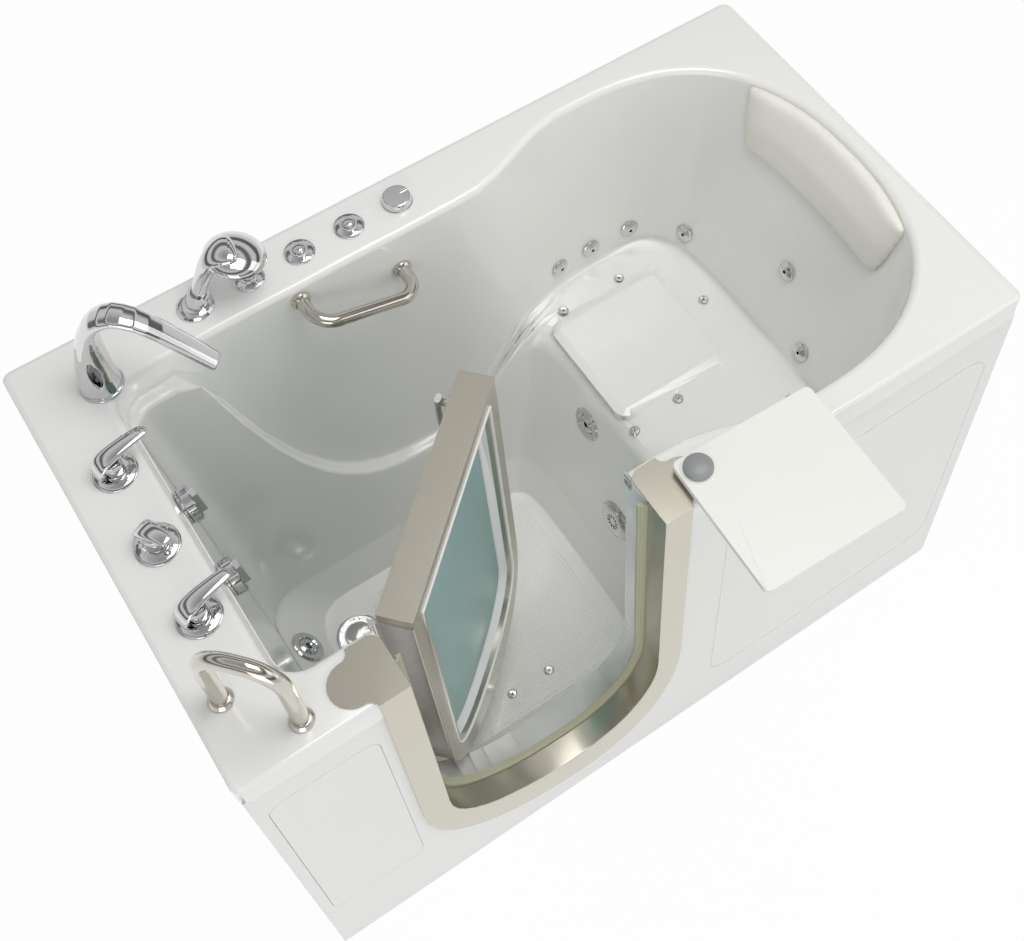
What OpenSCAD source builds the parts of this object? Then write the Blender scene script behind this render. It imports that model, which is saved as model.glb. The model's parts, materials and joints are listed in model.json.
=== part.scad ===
/* [Overall] */
// Length of the tub from foot end to head end
tub_l = 1346; // [1200:1:1700]
// Width of the tub from front apron to back edge
tub_w = 760; // [700:1:900]
// Height from the floor to the top of the deck
tub_h = 910; // [820:1:1060]
// Thickness of the moulded shell
shell_t = 7; // [5:0.5:10]

/* [Deck and well rim] */
// Height of the rolled lip that hangs from the deck edge
lip_h = 50; // [35:1:70]
// Radius of the deck corners in plan
deck_corner_r = 16; // [10:1:40]
// Radius of the rolled deck edge
deck_edge_r = 10; // [6:1:16]
// Deck width at the foot end
rim_foot = 120; // [100:1:150]
// Deck width behind the head end, at its narrowest
rim_head = 30; // [24:1:80]
// Deck width at the back, foot half
rim_back_foot = 112; // [95:1:140]
// Deck width at the back, head half
rim_back_head = 50; // [40:1:90]
// Deck width at the front, foot half
rim_front_foot = 100; // [90:1:130]
// Deck width at the front, head half
rim_front_head = 51; // [40:1:90]
// Length of the rounded head end of the rim
head_run = 313; // [240:1:360]
// Length over which the well widens from foot half to head half
widen_l = 215; // [150:1:260]
// Radius of the well corners at the foot end
foot_corner_r = 48; // [30:1:80]
// Radius of the rolled well rim
rim_r = 12; // [8:1:18]

/* [Seat and footwell] */
// Height of the seat above the footwell floor
seat_h = 430; // [380:1:470]
// Seat depth from nose to backrest
seat_d = 327; // [300:1:380]
// How far the backrest leans back between seat and rim
back_lean = 151; // [100:1:190]
// How far the side walls draw in between rim and seat
wall_draft = 33; // [20:1:45]
// Height of the lowest point of the side ledge above the floor
ledge_low_h = 246; // [200:1:300]
// Width of the side ledge
ledge_w = 25; // [15:1:35]
// Length of the footwell floor
floor_l = 548; // [450:1:620]
// Height of the raised pad on the seat
pad_h = 5; // [3:0.5:10]

/* [Door] */
// Clear width of the door opening
door_w = 411; // [380:1:440]
// Distance from the tub middle to the middle of the door opening
door_off = 207.5; // [180:0.5:230]
// Height of the sill above the floor
sill_h = 182; // [160:1:210]
// Width of the steel front flange beside the opening
flange_w = 48; // [40:1:60]
// Height of the steel front flange below the sill
flange_h = 96; // [70:1:110]
// Thickness of the front flange
flange_t = 6; // [4:0.5:8]
// Thickness of the steel lining of the opening
lining_t = 3; // [2:0.5:4]
// Depth of the lining behind the deck edge
lining_d = 42; // [35:1:50]
// Thickness of the door leaf
leaf_t = 54; // [46:1:60]
// Angle the door stands open at in the pose shown
door_open = 42; // [0:1:80]
// Thickness of the rubber frame seal
seal_t = 11; // [8:0.5:14]
// How far the frame seal stands into the opening
seal_lip = 12; // [8:1:16]

/* [Apron and frame] */
// Thickness of the front apron panel
apron_t = 5; // [4:0.5:8]
// How far the apron face lies behind the deck edge
apron_inset = 3; // [2:0.5:6]
// Height of the toe strip under the apron
toe_h = 56; // [40:1:70]
// Side of the square frame tubes
tube_s = 25; // [20:1:30]
// Wall of the square frame tubes
tube_wall = 2; // [1.5:0.1:3]
// Height of the levelling feet under the frame
foot_h = 36; // [30:1:45]

/* [Tray] */
// Length of the swivel tray
tray_l = 240; // [200:1:280]
// Width of the swivel tray
tray_w = 234; // [180:1:260]
// Thickness of the swivel tray
tray_t = 12; // [8:1:16]

/* [Fittings] */
// Diameter of the push button and dial bezels
bezel_d = 50; // [44:1:58]
// Diameter of the lever plates
plate_d = 68; // [60:1:76]
// Diameter of the spout foot
spout_d = 62; // [54:1:68]
// Diameter of the hand shower holder
holder_d = 58; // [50:1:64]
// Diameter of the large jets
hydro_d = 68; // [60:1:76]
// Diameter of the small jets
micro_d = 36; // [30:1:42]
// Diameter of the drain flanges
drain_d = 88; // [76:1:96]
// Diameter of the grab rails
rail_d = 22; // [19:0.5:26]
// Nominal bore of the waste pipes
waste_bore = 38; // [32:1:42]

/* [Hidden] */

// Smoothness of round exact parts and of the children of hulls
round_n = 48;
hull_n = 32;
// Overrun of cuts, and the small play between fitted pieces
cut = 2;
play = 0.3;

// Edges of the footprint and the main levels
x_foot = -tub_l / 2;
x_head = tub_l / 2;
y_front = -tub_w / 2;
y_back = tub_w / 2;
floor_z = foot_h + tube_s + shell_t;
seat_z = floor_z + seat_h;
apron_y = y_front + apron_inset;

// Outline of the well at one level, as nine values: foot end x, centre x and length of the
// round head end, back y in the foot and head half, front y in the foot and head half,
// foot corner radius, and squareness of the head end
head_x = x_head - rim_head - head_run;
rim_sq_share = 2.4;
seat_sq_share = 4.4;
seat_run = head_run - back_lean;
nose_x = head_x + seat_run - seat_d;
nose_run = 60;
rim_ring = [x_foot + rim_foot, head_x, head_run, y_back - rim_back_foot, y_back - rim_back_head,
    y_front + rim_front_foot, y_front + rim_front_head, foot_corner_r, rim_sq_share];
foot_draft = 4;
front_draft = 1;
ledge_ring = [rim_ring[0] + foot_draft, head_x, seat_run, rim_ring[3] - wall_draft / 2,
    rim_ring[4] - wall_draft, rim_ring[5] + front_draft, rim_ring[6] + wall_draft,
    foot_corner_r, seat_sq_share];
well_ring = [ledge_ring[0] + foot_draft, nose_x - nose_run, nose_run, ledge_ring[3] - ledge_w,
    ledge_ring[3] - ledge_w, ledge_ring[5] + front_draft, ledge_ring[5] + front_draft,
    foot_corner_r, seat_sq_share];
// The footwell narrows to its floor, most at the sloping foot end
floor_foot_x = nose_x - 2 * nose_run / 3 - floor_l;
low_back_in = 20;
low_front_in = 12;
low_foot_in = 75;
low_h = 75;
low_corner_r = 70;
low_ring = [floor_foot_x - low_foot_in, nose_x - 2 * nose_run, nose_run,
    well_ring[3] - low_back_in, well_ring[4] - low_back_in, well_ring[5] + low_front_in,
    well_ring[6] + low_front_in, low_corner_r, seat_sq_share];
floor_r = 34;
floor_ring = [floor_foot_x, low_ring[1] - floor_r, nose_run, low_ring[3] - floor_r,
    low_ring[4] - floor_r, low_ring[5] + floor_r, low_ring[6] + floor_r, low_corner_r,
    seat_sq_share];
function grow(p, g) = [p[0] - g, p[1], p[2] + g, p[3] + g, p[4] + g, p[5] - g, p[6] - g,
    p[7] + g, p[8]];
function mix(p, q, t) = p + (q - p) * t;
function smooth(t) = t <= 0 ? 0 : t >= 1 ? 1 : t * t * (3 - 2 * t);
widen_gap = 40;
widen_x = head_x - widen_gap - widen_l;
function wide(x) = smooth((x - widen_x) / widen_l);
function back_y(p, x) = p[3] + (p[4] - p[3]) * wide(x);
function front_y(p, x) = p[5] + (p[6] - p[5]) * wide(x);
function spow(v, e) = sign(v) * pow(abs(v), e);

// Points of one outline, clockwise from above, from the back of the foot end to the front
side_n = 18;
head_n = 32;
corner_n = 6;
end_n = 3;
function head_pt(p, t) = let (e = 2 / p[8], b = sin(t) >= 0 ? back_y(p, p[1]) : -front_y(p, p[1]))
    [p[1] + p[2] * spow(cos(t), e), b * spow(sin(t), e)];
function outline(p) = let (r = p[7], x0 = p[0] + r) concat(
    [for (i = [0 : side_n - 1]) let (x = x0 + (p[1] - x0) * i / side_n) [x, back_y(p, x)]],
    [for (i = [0 : head_n]) head_pt(p, 90 - 180 * i / head_n)],
    [for (i = [1 : side_n]) let (x = p[1] + (x0 - p[1]) * i / side_n) [x, front_y(p, x)]],
    [for (i = [1 : corner_n]) let (a = 270 - 90 * i / corner_n)
        [x0 + r * cos(a), p[5] + r + r * sin(a)]],
    [for (i = [1 : end_n]) [p[0], p[5] + r + (p[3] - p[5] - 2 * r) * i / (end_n + 1)]],
    [for (i = [0 : corner_n - 1]) let (a = 180 - 90 * i / corner_n)
        [x0 + r * cos(a), p[3] - r + r * sin(a)]]);

// Height of the ledge along the tub: it swoops down from the foot corner and up to the seat
swoop_x0 = rim_ring[0] + rim_foot;
swoop_l = 375;
swoop_flat = 20;
swoop_x1 = swoop_x0 + swoop_l;
swoop_up_x0 = swoop_x1 + swoop_flat;
swoop_up_l = 190;
swoop_top_drop = 32;
swoop_bend_share = 3.2;
ledge_low_z = floor_z + ledge_low_h;
swoop_top = tub_h - swoop_top_drop;
function ledge_z(x) = x >= swoop_up_x0
    ? ledge_low_z + (seat_z - ledge_low_z) * smooth((x - swoop_up_x0) / swoop_up_l)
    : ledge_low_z + (swoop_top - ledge_low_z)
        * pow(min(1, max(0, (swoop_x1 - x) / (swoop_x1 - swoop_x0))), swoop_bend_share);
ledge_r = 10;
nose_drop = 42;
function nose_z(x) = ledge_r + (nose_drop - ledge_r) * smooth((x - swoop_up_x0) / swoop_up_l);

// Rings of the well from rim to floor, each a list of 3-D points
function flat_ring(p, z) = [for (q = outline(p)) [q[0], q[1], z]];
function ledge_pts(p, up, down) = [for (q = outline(p))
    [q[0], q[1], ledge_z(q[0]) + up - down * nose_z(q[0]) / ledge_r]];
rim_turns = 4;
wall_t_share = [0.3, 0.6];
heel_in_share = [0.04, 0.12, 0.88, 0.96, 1];
heel_up_share = [0.92, 0.84, 0.08, 0.02, 0];
ledge_t_share = [0.04, 0.14, 0.32, 0.6, 0.82, 0.94];
ledge_up_share = [0.45, 0.12, 0, 0, 0, 0];
ledge_dn_share = [0, 0, 0, 0.02, 0.14, 0.42];
function well_rings(g, top) = concat(
    [flat_ring(grow(rim_ring, g + (g > 0 ? 0 : rim_r)), top)],
    g > 0 ? [] : [for (i = [0 : rim_turns]) let (a = 90 * i / rim_turns)
        flat_ring(grow(rim_ring, rim_r * (1 - sin(a))), tub_h - rim_r * (1 - cos(a)))],
    [for (t = wall_t_share) let (p = grow(mix(rim_ring, ledge_ring, t), g)) [for (q = outline(p))
        [q[0], q[1], (tub_h - rim_r) * (1 - t) + (ledge_z(q[0]) + ledge_r) * t - g]]],
    [ledge_pts(grow(ledge_ring, g), ledge_r - g, 0)],
    [for (i = [0 : len(ledge_t_share) - 1])
        ledge_pts(grow(mix(ledge_ring, well_ring, ledge_t_share[i]), g),
            ledge_r * ledge_up_share[i] - g, ledge_r * ledge_dn_share[i])],
    [ledge_pts(grow(well_ring, g), -g, ledge_r)],
    [let (p = grow(mix(well_ring, low_ring, 0.5), g)) [for (q = outline(p))
        [q[0], q[1], (ledge_z(q[0]) - nose_z(q[0]) + floor_z + low_h) / 2 - g]]],
    [flat_ring(grow(low_ring, g), floor_z + low_h - g)],
    [for (i = [0 : len(heel_in_share) - 1])
        flat_ring(grow(mix(low_ring, floor_ring, heel_in_share[i]), g),
            floor_z - g + low_h * heel_up_share[i])]);
module loft(rings) {
    n = len(rings[0]);
    m = len(rings);
    pts = [for (r = rings) each r];
    walls = [for (k = [0 : m - 2]) for (i = [0 : n - 1]) let (j = (i + 1) % n)
        each [[k * n + i, (k + 1) * n + i, k * n + j], [k * n + j, (k + 1) * n + i, (k + 1) * n + j]]];
    polyhedron(points = pts, faces = concat([[for (i = [0 : n - 1]) i]], walls,
        [[for (i = [n - 1 : -1 : 0]) (m - 1) * n + i]]));
}

// Points on the walls of the well, for what is fitted there
function ring_at(z) = mix(ledge_ring, rim_ring,
    min(1, max(0, (z - seat_z - ledge_r) / (tub_h - rim_r - seat_z - ledge_r))));
function head_wall(t, z) = let (q = head_pt(ring_at(z), t)) [q[0], q[1], z];
function head_dir(t, z) = let (d = 2, a = head_wall(t + d, z) - head_wall(t - d, z),
    b = head_wall(t, z + shell_t) - head_wall(t, z - shell_t), c = cross(a, b)) -c / norm(c);
function back_dir(x, z) = let (d = shell_t, a = back_wall(x + d, z) - back_wall(x - d, z),
    b = back_wall(x, z + d) - back_wall(x, z - d), c = cross(a, b)) c / norm(c);
function back_wall(x, z) = let (lo = ledge_z(x) + ledge_r, hi = tub_h - rim_r,
    t = min(1, max(0, (hi - z) / (hi - lo)))) [x, back_y(mix(rim_ring, ledge_ring, t), x), z];
function foot_wall(y, z) = let (hi = ledge_z(rim_ring[0]) - ledge_r, lo = floor_z + low_h,
    t = min(1, max(0, (hi - z) / (hi - lo)))) [mix(well_ring, low_ring, t)[0], y, z];
function face_ring(z) = let (hi = seat_z - nose_drop, lo = floor_z + low_h)
    mix(well_ring, low_ring, (hi - z) / (hi - lo));
function face_x(z) = face_ring(z)[1] + face_ring(z)[2];
function on_face(y, z) = let (p = face_ring(z), b = y > 0 ? back_y(p, p[1]) : -front_y(p, p[1]))
    [p[1] + p[2] * pow(1 - pow(abs(y) / b, p[8]), 1 / p[8]), y, z];
function face_dir(y, z) = let (d = shell_t, a = on_face(y + d, z) - on_face(y - d, z),
    b = on_face(y, z + d) - on_face(y, z - d), c = cross(b, a)) c / norm(c);
// Moves children so that +Z points along d from the point p
module on(p, d) translate(p)
    rotate([0, acos(max(-1, min(1, d[2] / norm(d)))), atan2(d[1], d[0])]) children();

// The door opening, its flange and the door leaf share one U outline in x and z
door_x0 = -door_off - door_w / 2;
door_x1 = door_x0 + door_w;
low_share = 0.6;
u_sq_share = 2.15;
u_n = 11;
sill_rise = 198;
function u_pts(x0, x1, zb, zc, zt) = let (xb = x0 + (x1 - x0) * low_share, e = 2 / u_sq_share)
    concat([[x1, zt], [x0, zt]],
    [for (i = [0 : u_n]) let (a = 180 + 90 * i / u_n)
        [xb + (xb - x0) * spow(cos(a), e), zc + (zc - zb) * spow(sin(a), e)]],
    [for (i = [1 : u_n]) let (a = 270 + 90 * i / u_n)
        [xb + (x1 - xb) * spow(cos(a), e), zc + (zc - zb) * spow(sin(a), e)]]);
module opening(side, low, top) polygon(u_pts(door_x0 - side, door_x1 + side, sill_h - low,
    sill_h + sill_rise, top));
// An outline in x and z made solid between two depths
module slab(y0, y1) translate([0, y1, 0]) rotate([90, 0, 0]) linear_extrude(y1 - y0) children();

flange_y = y_front - flange_t / 2;
lining_y = y_front + lining_d;
leaf_y0 = lining_y + seal_t;
leaf_y1 = leaf_y0 + leaf_t;
leaf_side = 6;
leaf_drop = 50;
leaf_rise = 168;
leaf_x0 = door_x0 + leaf_side;
leaf_x1 = door_x1 - leaf_side;
cap_t = 3;
leaf_top = tub_h + cap_t;
leaf_gap = 5;
hinge_x = door_x0 + leaf_side / 2;
hinge_out_share = 7 / 54;
hinge_y = leaf_y1 + hinge_out_share * leaf_t;
module door_pose() translate([hinge_x, hinge_y, 0]) rotate(door_open)
    translate([-hinge_x, -hinge_y, 0]) children();
module leaf_outline(in_side, in_low, in_top) polygon(u_pts(leaf_x0 + in_side, leaf_x1 - in_side,
    sill_h - leaf_drop + in_low, sill_h + leaf_rise, leaf_top - in_top));

// Where the fittings stand on the deck, from the deck edges
row_y = y_back - rim_back_foot / 2;
button_step = 88;
button_in = 387;
button_x = x_foot + button_in;
dial_x = button_x + 3 * button_step;
plate_share = 0.62;
plate_x = x_foot + rim_foot * plate_share;
plate_step = 138;
diverter_in = 330;
cold_step_share = 0.93;
diverter_y = row_y - diverter_in;
hot_y = diverter_y + plate_step;
cold_y = diverter_y - plate_step * cold_step_share;
spout_in = [46, 146];
spout_x = plate_x + spout_in[0];
spout_y = hot_y + spout_in[1];
holder_step = 91;
holder_x = button_x - holder_step;
handle_in = [46, 123, 39];
handle_a = [x_foot + handle_in[0], y_front + handle_in[1]];
handle_b = [x_foot + rim_foot, y_front + handle_in[2]];
tray_in = [81, 34];
tray_x = door_x1 + tray_in[0];
tray_y = y_front + tray_in[1];

// Holes in the deck below the fittings, each as x, y and radius
tail_r = 13;
deck_holes = concat([for (i = [0 : 2]) [button_x + i * button_step, row_y]],
    [[dial_x, row_y], [plate_x, hot_y], [plate_x, diverter_y], [plate_x, cold_y],
    [spout_x, spout_y], [holder_x, row_y], [tray_x, tray_y]]);

// Where the jets and nozzles sit, as shares of the seat and walls
micro_up = 44;
micro_high_up = 142;
micro_z = seat_z + micro_up;
micro_high_z = seat_z + micro_high_up;
up = [0, 0, 1];
micro_back_share = [0.27, 0.49];
micro_head_deg = [79, 34, -6, -44];
micro_spots = concat(
    [for (s = micro_back_share) let (x = nose_x + s * seat_d)
        [back_wall(x, micro_z), back_dir(x, micro_z)]],
    [for (t = micro_head_deg) [head_wall(t, micro_z), head_dir(t, micro_z)]],
    [[head_wall(0, micro_high_z), head_dir(0, micro_high_z)]]);
seat_jet_y = 62;
side_jet_y = -150;
suction_y = -70;
seat_jet_drop = 102;
side_jet_drop = 112;
suction_up = 182;
seat_jet_z = seat_z - seat_jet_drop;
side_jet_z = seat_z - side_jet_drop;
suction_z = floor_z + suction_up;
seat_jet = on_face(seat_jet_y, seat_jet_z);
seat_jet_dir = face_dir(seat_jet_y, seat_jet_z);
side_jet = on_face(side_jet_y, side_jet_z);
side_jet_dir = face_dir(side_jet_y, side_jet_z);
suction_spot = on_face(suction_y, suction_z);
suction_dir = face_dir(suction_y, suction_z);
foot_jet_dir = [low_h, 0, low_foot_in];
heel_mid_share = 0.55;
heel_up_mid_share = 0.54;
foot_jet_y = 100;
foot_jet = [floor_foot_x - heel_mid_share * low_foot_in, foot_jet_y,
    floor_z + heel_up_mid_share * low_h];
knob_drop = 50;
knob_z = tub_h - knob_drop;
knob_step = 136;
knob_y = -14;
drain_y = 14;
drain_gap = 9;
drain_x = floor_foot_x + drain_d / 2 + drain_gap;
// The seat rises a little to the backrest and falls away at the nose
function seat_share(x) = (head_x + seat_run - x) / seat_d;
function pairs(a, b) = [for (i = [0 : len(a) - 1]) [a[i], b[i]]];
function seat_up(x) = ledge_r * lookup(seat_share(x), pairs(ledge_t_share, ledge_up_share))
    - nose_drop * lookup(seat_share(x), pairs(ledge_t_share, ledge_dn_share));
function seat_dir(x) = [seat_up(x - nozzle_d / 2) - seat_up(x + nozzle_d / 2), 0, nozzle_d];
function seat_air(x, y) = [[x, y, seat_z + seat_up(x) + air_lift], seat_dir(x)];
nozzle_d = 20;
air_lift = 1;
// Places of the air nozzles on the seat, from the nose and from the tub's middle
air_in = [[56, 236], [182, 238], [282, 108], [282, -152], [120, -36], [24, -39]];
air_spots = concat([for (i = [0, 1]) [[nose_x + air_in[i][0], air_in[i][1], seat_z + air_lift], up]],
    [for (i = [2 : 5]) seat_air(nose_x + air_in[i][0], air_in[i][1])]);
floor_air_x = [-108, -190];
floor_air_y = -184;

// One piece of round tube, bent or straight stretches of which make up the rails
module rod(p, q, r) { d = q - p; on(p, d) cylinder(h = norm(d), r = r, $fn = round_n); }
// A ring or disc turned from a profile of radius and height pairs
module turned(pts) rotate_extrude($fn = round_n) polygon(pts);

// A body swept along stations of [x, z, slope in degrees, half width, half thickness]
sweep_n = 16;
sweep_sq_share = 2.3;
function sweep_ring(s) = [for (i = [0 : sweep_n - 1]) let (a = 360 * i / sweep_n,
    e = 2 / sweep_sq_share, w = s[3] * spow(cos(a), e), t = s[4] * spow(sin(a), e))
    [s[0] - t * sin(s[2]), w, s[1] + t * cos(s[2])]];
module swept(stations) loft([for (s = stations) sweep_ring(s)]);

module tub_shell() {
    collar_y = lining_y + seal_t;
    color("white") difference() {
        union() {
            difference() {
                deck_block(0, 0);
                deck_block(shell_t, shell_t);
            }
            loft(well_rings(shell_t, tub_h - shell_t / 2));
            slab(y_front + shell_t, collar_y) opening(lining_t + shell_t, lining_t + shell_t,
                tub_h - shell_t / 2);
            slab(collar_y - shell_t, front_y(low_ring, 0) + cut)
                polygon(u_pts(door_x0 - lining_t - shell_t, door_x1 + lining_t + shell_t,
                sill_h - leaf_drop - leaf_gap - shell_t, sill_h + leaf_rise, tub_h - shell_t / 2));
        }
        difference() {
            loft(well_rings(0, tub_h + cut));
            seat_pad();
        }
        slab(y_front - cut, front_y(low_ring, 0) + 2 * shell_t)
            opening(lining_t + play, lining_t + play, tub_h + cut);
        slab(collar_y - play, front_y(low_ring, 0) + 3 * shell_t)
            polygon(u_pts(door_x0 - lining_t, door_x1 + lining_t, sill_h - leaf_drop - leaf_gap,
            sill_h + leaf_rise, tub_h + cut));
        slab(y_front - cut, flange_y + flange_t) opening(flange_w, flange_h, tub_h + cut);
        for (h = deck_holes) translate([h[0], h[1], tub_h - shell_t - cut])
            hull() cylinder(h = shell_t + 2 * cut, r = tail_r + play, $fn = hull_n);
        for (s = wall_holes) on(s[0] - 3.5 * shell_t * s[1] / norm(s[1]), s[1])
            hull() cylinder(h = 5.5 * shell_t, r = s[2] + play, $fn = hull_n);
        translate([door_x1 + lining_t - cut, strike_y, strike_z]) rotate([0, 90, 0])
            hull() cylinder(h = 2 * shell_t, r = bolt_h / 2 + 1, $fn = hull_n);
    }
}
module deck_block(g, down) {
    r = deck_corner_r - g;
    hull() for (x = [x_foot + deck_corner_r, x_head - deck_corner_r])
        for (y = [y_front + deck_corner_r, y_back - deck_corner_r]) translate([x, y, tub_h - lip_h]) {
            translate([0, 0, g > 0 ? -cut : 0]) cylinder(h = lip_h - deck_edge_r + (g > 0 ? cut : 0),
                r = r, $fn = hull_n);
            translate([0, 0, lip_h - 0.6 * deck_edge_r - down])
                cylinder(h = deck_edge_r / 4, r = r - 0.08 * deck_edge_r, $fn = hull_n);
            translate([0, 0, lip_h - 0.3 * deck_edge_r - down])
                cylinder(h = deck_edge_r / 8, r = r - 0.3 * deck_edge_r, $fn = hull_n);
            translate([0, 0, lip_h - deck_edge_r / 4 - down])
                cylinder(h = deck_edge_r / 4, r = r - 0.75 * deck_edge_r, $fn = hull_n);
        }
}
pad_edge = 14;
pad_in = 40;
pad_l = 185;
pad_x0 = nose_x + pad_in;
pad_x1 = pad_x0 + pad_l;
pad_y0 = 10;
pad_y1 = 196;
module seat_pad() hull() for (x = [pad_x0, pad_x1]) for (y = [pad_y0, pad_y1])
    translate([x, y, seat_z - pad_edge]) {
        cylinder(h = pad_edge, r = 2 * pad_edge, $fn = hull_n);
        cylinder(h = pad_edge + pad_h, r = pad_edge, $fn = hull_n);
    }

// Holes in the walls below the jets, nozzles, drains and controls: place, direction, radius
hydro_r = 24;
micro_r = 12;
air_r = 8;
drain_wall = 3;
drain_r = waste_bore / 2 + drain_wall;
knob_r = 14;
function knob_spot(i) = foot_wall(knob_y + (i - 0.5) * knob_step, knob_z);
function drain_spot(i) = [drain_x, drain_y + (i - 0.5) * knob_step, floor_z];
knob_dir = [1, 0, 0.1];
wall_holes = concat([for (s = micro_spots) [s[0], s[1], micro_r]],
    [[seat_jet, seat_jet_dir, hydro_r], [side_jet, side_jet_dir, hydro_r],
    [foot_jet, foot_jet_dir, hydro_r], [suction_spot, suction_dir, hydro_r]],
    [for (i = [0, 1]) [knob_spot(i), knob_dir, knob_r]],
    [for (i = [0, 1]) [drain_spot(i), up, drain_r]],
    [for (s = air_spots) [s[0], s[1], air_r]],
    [for (x = floor_air_x) [[x, floor_air_y, floor_z], up, air_r]]);

bolt_h = 16;
bolt_t = 6;
bolt_out = 6;
strike_in = 14;
strike_drop = 24;
strike_y = leaf_y1 - strike_in;
strike_z = leaf_top - strike_drop;

module front_apron() {
    top = tub_h - lip_h - play;
    panel_in = 3;
    color("whitesmoke") difference() {
        slab(apron_y, apron_y + apron_t) difference() {
            polygon([[x_foot + apron_inset, 0], [x_head - apron_inset, 0],
                [x_head - apron_inset, top], [x_foot + apron_inset, top]]);
            opening(flange_w - flange_t, flange_h - flange_t, tub_h);
            access_outline(play);
        }
        slab(apron_y - cut, apron_y + panel_in / 2) difference() {
            side_panel(0);
            side_panel(panel_in);
        }
    }
}
access_in = 22;
access_x0 = x_foot + access_in;
access_l = 172;
access_z0 = 210;
access_z1 = 790;
access_r = 26;
module access_outline(g) translate([access_x0 - g, access_z0 - g])
    rounded(access_l + 2 * g, access_z1 - access_z0 + 2 * g, access_r + g);
// The pressed panel beside the door: gaps to the door, the toe strip and the head end, and height
side_in = [125, 66, 30];
side_h = 650;
module side_panel(g) translate([door_x1 + side_in[0] + g, toe_h + side_in[1] + g])
    rounded(x_head - door_x1 - side_in[0] - side_in[2] - 2 * g, side_h - 2 * g, 2 * access_r - g);
module rounded(w, h, r) {
    translate([r, 0]) square([w - 2 * r, h]);
    translate([0, r]) square([w, h - 2 * r]);
    for (x = [r, w - r]) for (y = [r, h - r]) translate([x, y]) circle(r, $fn = round_n);
}
module access_panel() color("whitesmoke") {
    slab(apron_y, apron_y + apron_t) access_outline(-play);
    for (x = [access_x0 + 2 * access_r, access_x0 + access_l - access_r])
        for (z = [access_z0 + 2 * access_r, access_z1 - 2 * access_r])
            translate([x, apron_y + apron_t, z]) rotate([-90, 0, 0]) {
                cylinder(h = 2 * apron_t, r = apron_t, $fn = round_n);
                translate([0, 0, 2 * apron_t]) cylinder(h = apron_t, r = 2 * apron_t, $fn = round_n);
            }
}
module toe_strip() color("whitesmoke") slab(apron_y + apron_t, apron_y + 2 * apron_t)
    polygon([[x_foot + 4 * apron_t, 0], [x_head - 4 * apron_t, 0],
        [x_head - 4 * apron_t, toe_h], [x_foot + 4 * apron_t, toe_h]]);

// The frame: a base of square tubes on feet, and posts up to the deck
rail_in = shell_t + deck_edge_r;
rail_y0 = y_front + rail_in;
rail_y1 = y_back - rail_in;
rail_x0 = x_foot + rail_in;
rail_x1 = x_head - rail_in;
module tube_x(x0, x1, y, z) translate([x0, y, z]) difference() {
    cube([x1 - x0, tube_s, tube_s]);
    translate([-cut, tube_wall, tube_wall]) cube([x1 - x0 + 2 * cut, tube_s - 2 * tube_wall, tube_s - 2 * tube_wall]);
}
module tube_y(x, y0, y1, z) translate([x, y0, z]) difference() {
    cube([tube_s, y1 - y0, tube_s]);
    translate([tube_wall, -cut, tube_wall]) cube([tube_s - 2 * tube_wall, y1 - y0 + 2 * cut, tube_s - 2 * tube_wall]);
}
cross_share = [0.27, 0.45, 0.68, 0.8];
mid_share = 0.5;
mid_x = rail_x0 + mid_share * (rail_x1 - rail_x0);
function cross_x(i) = rail_x0 + cross_share[i] * (rail_x1 - rail_x0);
module base_frame() color("gainsboro") {
    tube_x(rail_x0, rail_x1, rail_y0, foot_h);
    tube_x(rail_x0, rail_x1, rail_y1 - tube_s, foot_h);
    for (x = [rail_x1 - tube_s, for (i = [0 : 3]) cross_x(i)])
        tube_y(x, rail_y0 + tube_s, rail_y1 - tube_s, foot_h);
    difference() {
        tube_y(rail_x0, rail_y0 + tube_s, rail_y1 - tube_s, foot_h);
        // Saddles that leave the wastes a straight way out
        for (i = [0, 1]) translate([rail_x0 - cut, drain_spot(i)[1], waste_z]) rotate([0, 90, 0])
            cylinder(h = tube_s + 2 * cut, r = waste_bore / 2 + pipe_wall, $fn = round_n);
    }
}
post_top = tub_h - shell_t;
post_xy = [[rail_x0, rail_y0], [rail_x1 - tube_s, rail_y0], [rail_x0, rail_y1 - tube_s],
    [rail_x1 - tube_s, rail_y1 - tube_s], [mid_x, rail_y1 - tube_s]];
module frame_posts() color("gainsboro") {
    z0 = foot_h + tube_s;
    for (p = post_xy) translate([p[0], p[1], z0]) difference() {
        cube([tube_s, tube_s, post_top - z0]);
        translate([tube_wall, tube_wall, -cut])
            cube([tube_s - 2 * tube_wall, tube_s - 2 * tube_wall, post_top - z0 + 2 * cut]);
    }
    for (x = [rail_x0, rail_x1 - tube_s])
        tube_y(x, rail_y0 + tube_s, rail_y1 - tube_s, tub_h - lip_h - 2 * tube_s);
}
foot_xy = [for (x = [rail_x0 + tube_s / 2, mid_x + tube_s / 2, rail_x1 - tube_s / 2])
    for (y = [rail_y0 + tube_s / 2, rail_y1 - tube_s / 2]) [x, y]];
stud_r = 6;
pad_r = 16;
module levelling_feet() color("dimgray") for (p = foot_xy) translate([p[0], p[1], 0]) {
    turned([[0, 0], [pad_r, 0], [pad_r, stud_r], [2 * stud_r, 2 * stud_r], [0, 2 * stud_r]]);
    cylinder(h = foot_h, r = stud_r, $fn = round_n);
    translate([0, 0, foot_h - stud_r]) cylinder(h = stud_r, r = 1.7 * stud_r, $fn = 6);
}

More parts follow.
